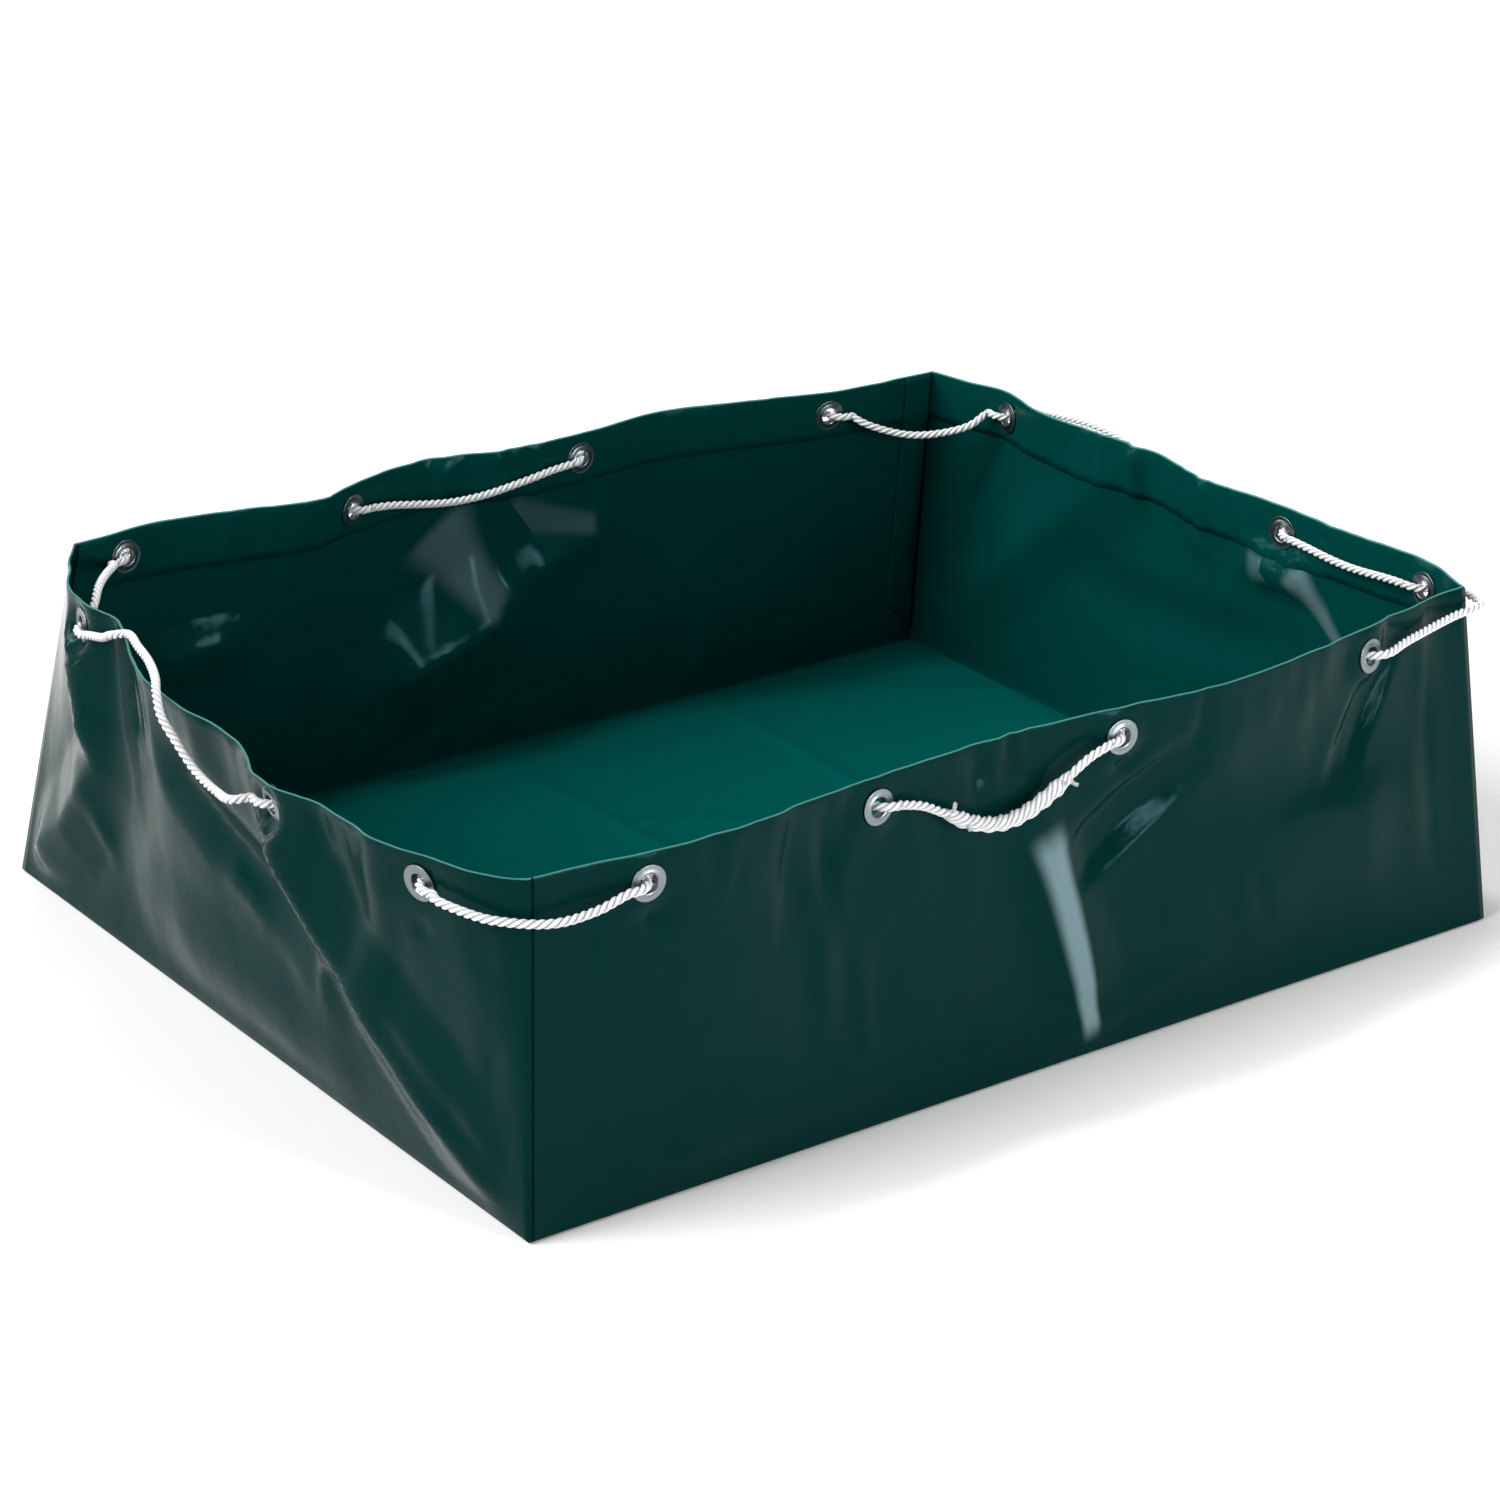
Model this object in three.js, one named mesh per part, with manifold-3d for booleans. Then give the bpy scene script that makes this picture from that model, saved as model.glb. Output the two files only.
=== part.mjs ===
import * as THREE from "three";
import { mergeVertices } from "three/addons/utils/BufferGeometryUtils.js";
import Module from "manifold-3d";

// Rope storage tub: an open-topped box of coated cloth, with a hem round its rim and
// one rope laced in and out of fourteen eyelets. Millimetres, +Z up, standing on z = 0.

// Cloth tub
const baseLength = 820;
const baseWidth = 660;
const clothHeight = 245; // from the bottom fold to the rim, measured along the cloth
const cloth = 0.8;
const layerGap = 0.3;
const hemWidth = 40;
const flapWidth = 30;
const flapFoot = 12; // height of a flap's lower end above the floor
const flapBevel = 0.95; // share of the flap's width that its lower end is cut off at 45 degrees
const stationStep = 42; // longest cell of a wall along its length
const mitreGap = 0.25; // each panel end stands back this far from a corner's mitre

// Rope
const ropeDiameter = 6;
const ropeSides = 8;
const spanStep = 15; // longest step along a hanging span
const bendStep = 7.5; // longest step along a stretch that bends
const besideRoom = 5.2; // from the middle of the cloth to the rope's surface, beside an eyelet
const standOff = ropeDiameter / 2 + besideRoom;
const threadReach = 12; // how far along the wall the rope takes to pass an eyelet
const threadLead = 5; // straight rope after that, where the same length runs on
const swivelGap = 1.4; // between a hanging span and the rope that it swings on
const spliceDiameter = ropeDiameter + 4.5;
const spliceFrom = 0.22;
const spliceTo = 0.8;
const jointGap = 0.4; // between two lengths of one rope
const bellPower = 1.6;

// Eyelets: a barrel with a flange outside, rolled over a washer inside
const boreRoom = 6.4; // bore less rope
const eyeletBore = ropeDiameter + boreRoom;
const barrelWall = 0.6;
const flangeDiameter = 25;
const flangeHeight = 1.5;
const washerThickness = 0.8;
const lipThickness = 0.6;
const lipDiameter = eyeletBore + 4;
const seatGap = 0.5; // between the metal and the cloth
const metalGap = 0.25; // between barrel, washer and lip
const eyeletDrop = 20; // eyelet centre below the rim
const eyeletSeat = 16; // half width of the flat seat under an eyelet
const eyeletSides = 14;

// How far the top of each corner stands from its foot, in plan
const corners = {
  frontLeft: { foot: [-1, -1], shift: [0, 0] },
  frontRight: { foot: [1, -1], shift: [0, 47] },
  backRight: { foot: [1, 1], shift: [-11, -30] },
  backLeft: { foot: [-1, 1], shift: [58, 8] },
};

// The walls, in the order that the rope goes round them. lean is the rim's lean towards
// the inside at a share of the wall's length; eyelets are shares of that length too.
const walls = {
  front: {
    from: "frontLeft", to: "frontRight", inward: [0, 1], flaps: true,
    lean: [[0.04, -3], [0.1, -9], [0.19, -8], [0.31, 3], [0.46, 11], [0.57, 4],
      [0.66, -2], [0.77, 7], [0.86, 20], [0.93, 36], [0.965, 45]],
    eyelets: [0.0988, 0.322, 0.567, 0.855],
  },
  right: {
    from: "frontRight", to: "backRight", inward: [-1, 0], flaps: false,
    lean: [[0.09, -13], [0.2, -7], [0.33, -2], [0.45, 6], [0.57, -4], [0.67, 3],
      [0.78, 8], [0.87, -4], [0.94, 5]],
    eyelets: [0.0865, 0.321, 0.8564],
  },
  back: {
    from: "backRight", to: "backLeft", inward: [0, -1], flaps: true,
    lean: [[0.04, 30], [0.1, 30], [0.143, 27], [0.24, 10], [0.33, -4], [0.42, 4], [0.53, 2],
      [0.6, -14], [0.68, -2], [0.75, 16], [0.83, 0], [0.91, -13], [0.96, -9]],
    eyelets: [0.136, 0.4307, 0.7003, 0.9395],
  },
  left: {
    from: "backLeft", to: "frontLeft", inward: [1, 0], flaps: false,
    lean: [[0.055, 36], [0.12, 14], [0.19, 1], [0.25, 1], [0.33, -19], [0.4, -34],
      [0.46, -37], [0.54, -32], [0.6, -34], [0.67, -46], [0.76, -40], [0.85, -38],
      [0.91, -28], [0.95, -21], [0.985, -10]],
    eyelets: [0.1713, 0.6628, 0.8921],
  },
};
const wallNames = Object.keys(walls);

const paint = {
  cloth: { color: 0x053f3a, roughness: 0.28, metalness: 0 },
  floor: { color: 0x0a5a52, roughness: 0.35, metalness: 0 },
  steel: { color: 0x9aa3a6, roughness: 0.3, metalness: 1 },
  rope: { color: 0xf4f4f0, roughness: 0.75, metalness: 0 },
};

const wasm = await Module();
wasm.setup();

const tub = new THREE.Group();

function addPiece(name, geometry, finish, parent = tub) {
  const mesh = new THREE.Mesh(geometry, new THREE.MeshStandardMaterial(paint[finish]));
  mesh.name = name;
  parent.add(mesh);
  return mesh;
}

function solidFrom(geometry) {
  const bare = geometry.clone();
  bare.deleteAttribute("normal");
  bare.deleteAttribute("uv");
  const welded = mergeVertices(bare, 1e-4);
  return new wasm.Manifold(new wasm.Mesh({
    numProp: 3,
    vertProperties: new Float32Array(welded.attributes.position.array),
    triVerts: new Uint32Array(welded.index.array),
  }));
}

function geometryFrom(solid) {
  const mesh = solid.getMesh();
  const geometry = new THREE.BufferGeometry();
  geometry.setAttribute("position", new THREE.BufferAttribute(mesh.vertProperties, 3));
  geometry.setIndex(new THREE.BufferAttribute(mesh.triVerts, 1));
  return geometry;
}

// ---- The cloth's surface

function footOf(cornerName) {
  const [x, y] = corners[cornerName].foot;
  return new THREE.Vector2(x * baseLength / 2, y * baseWidth / 2);
}

function shiftOf(cornerName) {
  return new THREE.Vector2(...corners[cornerName].shift);
}

function wallLength(wall) {
  return footOf(wall.from).distanceTo(footOf(wall.to));
}

// The lean runs smoothly through its knots, with a slope at each from its two neighbours
function leanAt(wall, share) {
  const inward = new THREE.Vector2(...wall.inward);
  const knots = [[0, shiftOf(wall.from).dot(inward)], ...wall.lean, [1, shiftOf(wall.to).dot(inward)]];
  const slopeAt = (k) => {
    const before = knots[Math.max(0, k - 1)];
    const after = knots[Math.min(knots.length - 1, k + 1)];
    return (after[1] - before[1]) / (after[0] - before[0]);
  };
  const next = Math.max(1, knots.findIndex(([at]) => at >= Math.min(share, 1)));
  const [a, low] = knots[next - 1];
  const [b, high] = knots[next];
  const t = THREE.MathUtils.clamp((share - a) / (b - a), 0, 1);
  const ease = t * t * (3 - 2 * t);
  const leave = t * (1 - t) ** 2 * slopeAt(next - 1);
  const arrive = t * t * (1 - t) * slopeAt(next);
  return THREE.MathUtils.lerp(low, high, ease) + (b - a) * (leave - arrive);
}

// A point of the cloth: share of the wall's length, level above the fold measured along the
// cloth, and depth in from the outer face. pull moves it along the wall.
function clothPoint(wall, share, level, depth = 0, pull = 0) {
  const inward = new THREE.Vector2(...wall.inward);
  const along = footOf(wall.to).sub(footOf(wall.from)).normalize();
  const foot = footOf(wall.from).lerp(footOf(wall.to), share);
  const sideways = shiftOf(wall.from).lerp(shiftOf(wall.to), share).dot(along);
  const shift = along.clone().multiplyScalar(sideways).addScaledVector(inward, leanAt(wall, share));
  shift.multiplyScalar(level / clothHeight);
  const height = Math.sqrt(level ** 2 - shift.lengthSq());
  const plan = foot.add(shift).addScaledVector(inward, depth).addScaledVector(along, pull);
  if (share === 0) plan.addScaledVector(along, depth);
  if (share === 1) plan.addScaledVector(along, -depth);
  return new THREE.Vector3(plan.x, plan.y, height);
}

// Shares of a wall's length at which its cells begin and end
function stationsOf(wall) {
  const length = wallLength(wall);
  const fixed = [0, 1];
  for (const eyelet of wall.eyelets) fixed.push(eyelet - eyeletSeat / length, eyelet + eyeletSeat / length);
  if (wall.flaps) fixed.push(flapWidth / length, 1 - flapWidth / length);
  fixed.sort((a, b) => a - b);
  const stations = [0];
  for (let i = 1; i < fixed.length; i++) {
    const parts = Math.ceil((fixed[i] - fixed[i - 1]) * length / stationStep);
    for (let k = 1; k <= parts; k++) stations.push(THREE.MathUtils.lerp(fixed[i - 1], fixed[i], k / parts));
  }
  return stations.map((share) => (share > 1 - 1e-9 ? 1 : share));
}

// A sheet of cloth laid on a wall: a box whose cells follow the stations and levels
function clothSheet(wall, stations, levels, depth, levelAt = (i, j) => levels[j]) {
  const columns = stations.length - 1;
  const rows = levels.length - 1;
  const box = new THREE.BoxGeometry(columns, rows, 1, columns, rows, 1);
  const position = box.attributes.position;
  for (let v = 0; v < position.count; v++) {
    const i = Math.round(position.getX(v) + columns / 2);
    const j = Math.round(position.getY(v) + rows / 2);
    const inner = position.getZ(v) < 0 ? cloth : 0;
    const atStart = i === 0 ? mitreGap : 0;
    const pull = i === columns ? -mitreGap : atStart;
    const point = clothPoint(wall, stations[i], levelAt(i, j), depth + inner, pull);
    position.setXYZ(v, point.x, point.y, point.z);
  }
  return foldAlike(box);
}

// Splits the cells of a box's inner face along the same diagonal as those of its outer face
function foldAlike(box) {
  const innerFace = box.groups.at(-1);
  const index = box.index;
  for (let t = innerFace.start; t < innerFace.start + innerFace.count; t += 6) {
    const [a, b, c, d] = [index.getX(t), index.getX(t + 1), index.getX(t + 4), index.getX(t + 2)];
    [a, b, c, a, c, d].forEach((vertex, k) => index.setX(t + k, vertex));
  }
  return box;
}

const wallFoot = cloth + layerGap;
const hemFoot = clothHeight - hemWidth;
const wallLevels = [wallFoot, flapFoot, flapFoot + flapWidth, hemFoot, clothHeight];
const innerLayer = cloth + layerGap;
const stack = 2 * cloth + layerGap; // wall and hem together

// ---- Eyelets

// The frame of an eyelet: its centre in the middle of the cloth, and three directions
function eyeletFrame(wall, share) {
  const half = eyeletSeat / wallLength(wall);
  const lowLeft = clothPoint(wall, share - half, hemFoot);
  const highRight = clothPoint(wall, share + half, clothHeight);
  const lowRight = clothPoint(wall, share + half, hemFoot);
  const highLeft = clothPoint(wall, share - half, clothHeight);
  const outward = highRight.clone().sub(lowLeft).cross(highLeft.clone().sub(lowRight)).normalize();
  const along = highRight.clone().sub(highLeft).add(lowRight).sub(lowLeft);
  along.addScaledVector(outward, -along.dot(outward)).normalize();
  const up = outward.clone().cross(along);
  const centre = lowLeft.add(highRight).add(lowRight).add(highLeft).multiplyScalar(0.25);
  centre.addScaledVector(up, clothHeight - eyeletDrop - (hemFoot + clothHeight) / 2);
  centre.addScaledVector(outward, -stack / 2);
  return { centre, along, up, outward };
}

function placeOn(object, frame) {
  object.quaternion.setFromRotationMatrix(new THREE.Matrix4().makeBasis(frame.along, frame.outward, frame.up.clone().negate()));
  object.position.copy(frame.centre);
}

const barrelInner = eyeletBore / 2;
const barrelOuter = barrelInner + barrelWall;
const flangeSeat = stack / 2 + seatGap;
const washerOuterFace = flangeSeat + washerThickness;
const lipInnerFace = washerOuterFace + metalGap;

function barrelGeometry() {
  const top = flangeSeat + flangeHeight;
  const bottom = -(lipInnerFace + lipThickness);
  const profile = [
    [barrelInner, top - 0.6], [barrelInner, bottom + 0.5], [barrelInner + 1, bottom],
    [lipDiameter / 2, bottom], [lipDiameter / 2, -lipInnerFace], [barrelOuter, -lipInnerFace],
    [barrelOuter, flangeSeat], [flangeDiameter / 2, flangeSeat], [flangeDiameter / 2 - 2, top],
    [barrelInner + 1.2, top], [barrelInner, top - 0.6],
  ];
  return new THREE.LatheGeometry(profile.map(([r, y]) => new THREE.Vector2(r, y)), eyeletSides);
}

function washerGeometry() {
  const hole = barrelOuter + metalGap;
  const profile = [
    [hole, -washerOuterFace], [flangeDiameter / 2, -washerOuterFace],
    [flangeDiameter / 2, -flangeSeat], [hole, -flangeSeat], [hole, -washerOuterFace],
  ];
  return new THREE.LatheGeometry(profile.map(([r, y]) => new THREE.Vector2(r, y)), eyeletSides);
}

function holeCutter(frame) {
  const geometry = new THREE.CylinderGeometry(barrelOuter + layerGap, barrelOuter + layerGap, 10 * stack, eyeletSides);
  const carrier = new THREE.Object3D();
  placeOn(carrier, frame);
  carrier.updateMatrix();
  return solidFrom(geometry.applyMatrix4(carrier.matrix));
}

function punched(sheet, frames) {
  return geometryFrom(frames.reduce((solid, frame) => solid.subtract(holeCutter(frame)), solidFrom(sheet)));
}

// ---- Walls, hems, flaps and floor

function buildWall(wallName) {
  const wall = walls[wallName];
  const stations = stationsOf(wall);
  const frames = wall.eyelets.map((share) => eyeletFrame(wall, share));
  addPiece(wallName + "_wall", punched(clothSheet(wall, stations, wallLevels, 0), frames), "cloth");

  const flapShare = flapWidth / wallLength(wall);
  const hemEnd = flapShare + layerGap / wallLength(wall);
  const hemStations = wall.flaps
    ? [hemEnd, ...stations.filter((share) => share > hemEnd && share < 1 - hemEnd), 1 - hemEnd]
    : stations;
  const hem = clothSheet(wall, hemStations, [hemFoot, clothHeight], innerLayer);
  addPiece(wallName + "_hem", punched(hem, frames), "cloth");
  if (wall.flaps) buildFlaps(wallName, wall, flapShare);
}

// The short walls' side flaps turn the corners and are welded inside the long walls
function buildFlaps(wallName, wall, flapShare) {
  const cut = flapWidth * flapBevel;
  const flapLevels = wallLevels.slice(1);
  const ends = {
    [wall.from]: { stations: [0, flapShare], free: 1 },
    [wall.to]: { stations: [1 - flapShare, 1], free: 0 },
  };
  for (const [cornerName, end] of Object.entries(ends)) {
    const levelAt = (i, j) => flapLevels[j] + (j === 0 && i === end.free ? cut : 0);
    const flap = clothSheet(wall, end.stations, flapLevels, innerLayer, levelAt);
    addPiece("corner_flap_" + cornerName, flap, "cloth");
  }
}

const floor = addPiece("floor_panel", new THREE.BoxGeometry(baseLength, baseWidth, cloth), "floor");
floor.position.z = cloth / 2;
wallNames.forEach(buildWall);

const eyelets = wallNames.flatMap((wallName) => walls[wallName].eyelets.map((share, i) => ({
  wallName, wall: walls[wallName], share, name: wallName + "_" + (i + 1), ...eyeletFrame(walls[wallName], share),
})));
for (const eyelet of eyelets) {
  placeOn(addPiece("eyelet_" + eyelet.name, barrelGeometry(), "steel"), eyelet);
  placeOn(addPiece("washer_" + eyelet.name, washerGeometry(), "steel"), eyelet);
}

// ---- Rope

function ropeGeometry(points, step, diameter = ropeDiameter) {
  const path = new THREE.CatmullRomCurve3(points, false, "centripetal");
  const section = new THREE.Shape();
  const sides = diameter > ropeDiameter ? ropeSides + 4 : ropeSides;
  for (let k = 0; k < sides; k++) {
    const angle = k * 2 * Math.PI / sides;
    const corner = [Math.cos(angle) * diameter / 2, Math.sin(angle) * diameter / 2];
    if (k === 0) section.moveTo(...corner);
    else section.lineTo(...corner);
  }
  section.closePath();
  const steps = Math.ceil(path.getLength() / step);
  return new THREE.ExtrudeGeometry(section, { steps, bevelEnabled: false, extrudePath: path });
}

// Beside an eyelet: side is 1 outside the tub and -1 inside, and reach runs along the wall
function besideEyelet(eyelet, side, reach) {
  return eyelet.centre.clone().addScaledVector(eyelet.along, reach).addScaledVector(eyelet.outward, side * standOff);
}

// The rope's way through an eyelet: two arcs that make an S, from one side to the other
function threadPoints(eyelet, sideBefore, leadBefore = 0, leadAfter = 0) {
  const turn = 2 * Math.atan(standOff / threadReach);
  const radius = threadReach / Math.sin(turn);
  const arcs = 3;
  const points = leadBefore ? [besideEyelet(eyelet, sideBefore, -threadReach - leadBefore)] : [];
  for (let k = 0; k <= 2 * arcs; k++) {
    const bend = turn * Math.min(k, 2 * arcs - k) / arcs;
    const half = k <= arcs ? 1 : -1;
    const reach = -half * (threadReach - radius * Math.sin(bend));
    const offset = half * sideBefore * (standOff - radius * (1 - Math.cos(bend)));
    points.push(eyelet.centre.clone().addScaledVector(eyelet.along, reach).addScaledVector(eyelet.outward, offset));
  }
  if (leadAfter) points.push(besideEyelet(eyelet, -sideBefore, threadReach + leadAfter));
  return points;
}

// A span beside one wall: it sags by sag, and goes straight wherever the wall leaves room
function spanPoints(first, last, side, sag) {
  const wall = first.wall;
  const inward = new THREE.Vector3(...wall.inward, 0);
  const start = besideEyelet(first, side, threadReach);
  const end = besideEyelet(last, side, -threadReach);
  const chord = end.clone().sub(start);
  start.addScaledVector(chord, swivelGap / chord.length());
  end.addScaledVector(chord, -swivelGap / chord.length());
  const reach = (threadReach + swivelGap) / wallLength(wall);
  const pieces = 10;
  const route = [];
  for (let k = 0; k <= pieces; k++) {
    const x = k / pieces;
    const drop = sag * Math.sin(Math.PI * x) ** bellPower;
    const share = THREE.MathUtils.lerp(first.share + reach, last.share - reach, x);
    const level = clothHeight - eyeletDrop - drop;
    const beside = clothPoint(wall, share, level, stack / 2 - side * standOff);
    const straight = start.clone().lerp(end, x);
    const room = side * (beside.clone().sub(straight).dot(inward));
    route.push(beside.addScaledVector(inward, -side * Math.max(0, room)));
  }
  const startMiss = start.clone().sub(route[0]);
  const endMiss = end.clone().sub(route[pieces]);
  return route.map((point, k) => point.addScaledVector(startMiss, 1 - k / pieces).addScaledVector(endMiss, k / pieces));
}

// A span that swings hangs in a group of its own, whose X axis is the line it swings about
function addSwingingSpan(name, first, last, side, sag, cuts) {
  const points = spanPoints(first, last, side, sag);
  const lineUp = points.at(-1).clone().sub(points[0]).normalize();
  const level = new THREE.Vector3(0, 0, 1).cross(lineUp).normalize();
  const holder = new THREE.Group();
  holder.name = "swing_" + name;
  holder.quaternion.setFromRotationMatrix(new THREE.Matrix4().makeBasis(lineUp, level, lineUp.clone().cross(level)));
  holder.position.copy(points[0]);
  holder.updateMatrix();
  const toHolder = holder.matrix.clone().invert();
  const curve = new THREE.CatmullRomCurve3(points.map((point) => point.applyMatrix4(toHolder)), false, "centripetal");
  for (const { piece, from, to, diameter } of cuts) {
    const parts = 12;
    const stretch = [];
    for (let k = 0; k <= parts; k++) stretch.push(curve.getPointAt(THREE.MathUtils.lerp(from, to, k / parts)));
    addPiece(piece, ropeGeometry(stretch, spanStep, diameter), "rope", holder);
  }
  tub.add(holder);
}

// A point beside a wall: share of its length, inward from the base line, and rise above the rim
function wallPlace(wall, [share, inwardBy, rise]) {
  const height = clothHeight + rise;
  const foot = footOf(wall.from).lerp(footOf(wall.to), share);
  const along = footOf(wall.to).sub(footOf(wall.from)).normalize();
  const sideways = shiftOf(wall.from).lerp(shiftOf(wall.to), share).dot(along);
  foot.addScaledVector(along, sideways * height / clothHeight);
  foot.addScaledVector(new THREE.Vector2(...wall.inward), inwardBy);
  return new THREE.Vector3(foot.x, foot.y, height);
}

const eyeletNamed = Object.fromEntries(eyelets.map((eyelet) => [eyelet.name, eyelet]));

function addSwings() {
  const gapShare = (first, last) => jointGap / first.centre.distanceTo(last.centre);
  const whole = (name) => [{ piece: "rope_" + name, from: 0, to: 1, diameter: ropeDiameter }];
  const swings = [
    ["front_left_inside", "front_1", "front_2", -1, 12],
    ["front_right_inside", "front_3", "front_4", -1, 12],
    ["right_front_inside", "right_1", "right_2", -1, 3],
    ["back_right_outside", "back_1", "back_2", 1, 14],
    ["back_middle_inside", "back_2", "back_3", -1, 10],
    ["back_left_outside", "back_3", "back_4", 1, 14],
    ["left_front_inside", "left_2", "left_3", -1, 12],
  ];
  for (const [name, first, last, side, sag] of swings) {
    addSwingingSpan(name, eyeletNamed[first], eyeletNamed[last], side, sag, whole(name));
  }
  const first = eyeletNamed.front_2;
  const last = eyeletNamed.front_3;
  const gap = gapShare(first, last);
  addSwingingSpan("front_splice", first, last, 1, 33, [
    { piece: "rope_end_left", from: 0, to: spliceFrom - gap, diameter: ropeDiameter },
    { piece: "rope_splice", from: spliceFrom, to: spliceTo, diameter: spliceDiameter },
    { piece: "rope_end_right", from: spliceTo + gap, to: 1, diameter: ropeDiameter },
  ]);
}

// Where two swinging spans meet, a short length of rope is threaded through the eyelet
function addThreads() {
  const threads = [["front_2", -1], ["front_3", 1], ["back_2", 1], ["back_3", -1]];
  for (const [name, sideBefore] of threads) {
    addPiece("rope_thread_" + name, ropeGeometry(threadPoints(eyeletNamed[name], sideBefore), bendStep / 2), "rope");
  }
}

// Stretches that bear on a corner or lie over the rim keep their place
const overRightRim = [[0.36, -9, -24], [0.41, -5, -32], [0.47, -2, -36], [0.53, -6, -34], [0.584, -11, -26],
  [0.61, -10, -14], [0.635, -7, -5], [0.67, -5, -1.5], [0.72, -2, -1], [0.78, 0, -5], [0.825, -4, -13]];
const overLeftRim = [[0.208, -7, -18], [0.235, -7, -14], [0.262, -10, -7], [0.28, -14, 1], [0.304, -9, 4.5],
  [0.341, -15, 5], [0.382, -22, 5], [0.424, -33, 5], [0.45, -42, 2.5], [0.474, -48, -6],
  [0.4985, -47, -18], [0.533, -46, -31], [0.579, -48, -34], [0.62, -53, -28]];
const roundFrontLeft = [[0.925, -33, -23], [0.96, -26, -25], [0.985, -17, -26]];
const roundFrontLeftAhead = [[0.012, -11, -27], [0.05, -13, -26]];
const roundFrontRight = [[0.895, 18, -19], [0.93, 25, -18], [0.97, 32, -17], [1.008, 37, -16]];
const roundFrontRightAhead = [[0.025, -13, -16], [0.045, -17, -17]];
const acrossBackRight = [[0.15, -9], [0.35, -15], [0.55, -16], [0.75, -11], [0.9, -4]];
const acrossBackLeft = [[0.15, 4], [0.45, 9], [0.72, 10], [0.9, 4]];

function acrossCorner(first, last, rises) {
  const start = besideEyelet(first, -1, threadReach);
  const end = besideEyelet(last, -1, -threadReach);
  return rises.map(([x, rise]) => start.clone().lerp(end, x).add(new THREE.Vector3(0, 0, rise)));
}

function addHeldRuns() {
  const { front_1, front_4, right_1, right_2, right_3, back_1, back_4, left_1, left_2, left_3 } = eyeletNamed;
  const runs = {
    rope_round_front_left: [
      ...threadPoints(left_3, -1, 0, threadLead), ...roundFrontLeft.map((place) => wallPlace(walls.left, place)),
      ...roundFrontLeftAhead.map((place) => wallPlace(walls.front, place)), ...threadPoints(front_1, 1, threadLead, 0),
    ],
    rope_round_front_right: [
      ...threadPoints(front_4, -1, 0, threadLead), ...roundFrontRight.map((place) => wallPlace(walls.front, place)),
      ...roundFrontRightAhead.map((place) => wallPlace(walls.right, place)), ...threadPoints(right_1, 1, threadLead, 0),
    ],
    rope_over_right_rim: [
      ...threadPoints(right_2, -1, 0, threadLead), ...overRightRim.map((place) => wallPlace(walls.right, place)),
      ...threadPoints(right_3, 1, threadLead, threadLead), ...acrossCorner(right_3, back_1, acrossBackRight),
      ...threadPoints(back_1, -1, threadLead, 0),
    ],
    rope_over_left_rim: [
      ...threadPoints(back_4, 1, 0, threadLead), ...acrossCorner(back_4, left_1, acrossBackLeft),
      ...threadPoints(left_1, -1, threadLead, threadLead),
      ...overLeftRim.map((place) => wallPlace(walls.left, place)), ...threadPoints(left_2, 1, threadLead, 0),
    ],
  };
  for (const [name, points] of Object.entries(runs)) addPiece(name, ropeGeometry(points, bendStep), "rope");
}

addSwings();
addThreads();
addHeldRuns();

// The origin is under the middle of the whole tub
const box = new THREE.Box3().setFromObject(tub, true);
tub.position.set(-(box.min.x + box.max.x) / 2, -(box.min.y + box.max.y) / 2, 0);

export default tub;
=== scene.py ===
import math
import random

import bpy
import bmesh
from mathutils import Matrix, Vector, noise


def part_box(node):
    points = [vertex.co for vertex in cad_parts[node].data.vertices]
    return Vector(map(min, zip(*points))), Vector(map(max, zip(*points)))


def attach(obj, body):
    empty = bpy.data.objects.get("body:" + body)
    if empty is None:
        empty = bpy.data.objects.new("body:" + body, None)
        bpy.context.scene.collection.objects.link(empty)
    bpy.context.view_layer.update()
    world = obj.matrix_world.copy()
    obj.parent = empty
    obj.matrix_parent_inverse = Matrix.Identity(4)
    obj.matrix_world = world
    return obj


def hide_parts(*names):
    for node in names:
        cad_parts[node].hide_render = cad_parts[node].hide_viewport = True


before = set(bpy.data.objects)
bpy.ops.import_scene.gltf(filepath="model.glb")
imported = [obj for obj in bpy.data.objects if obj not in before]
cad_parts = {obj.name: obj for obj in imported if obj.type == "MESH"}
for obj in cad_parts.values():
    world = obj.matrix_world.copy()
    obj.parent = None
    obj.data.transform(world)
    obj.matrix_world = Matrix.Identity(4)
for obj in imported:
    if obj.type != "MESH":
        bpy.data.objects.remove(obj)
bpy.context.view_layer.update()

# a rope bag: one sheet of coated cloth folded into an open tub, and a rope laced through its rim
# sizes in metres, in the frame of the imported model

random.seed(4)
scene = bpy.context.scene
mm = 0.001

floorLow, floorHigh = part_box("floor_panel")
baseCentre = Vector(((floorLow[0] + floorHigh[0]) / 2, (floorLow[1] + floorHigh[1]) / 2, floorLow[2]))

# camera

cameraSettings = dict(
    azimuth=-36.854, elevation=23.022, roll=1.101,  # degrees
    distance=3.0182, lens=102.05, aimHeight=0.1, slideRight=-0.00114, slideUp=0.01247)


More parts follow.
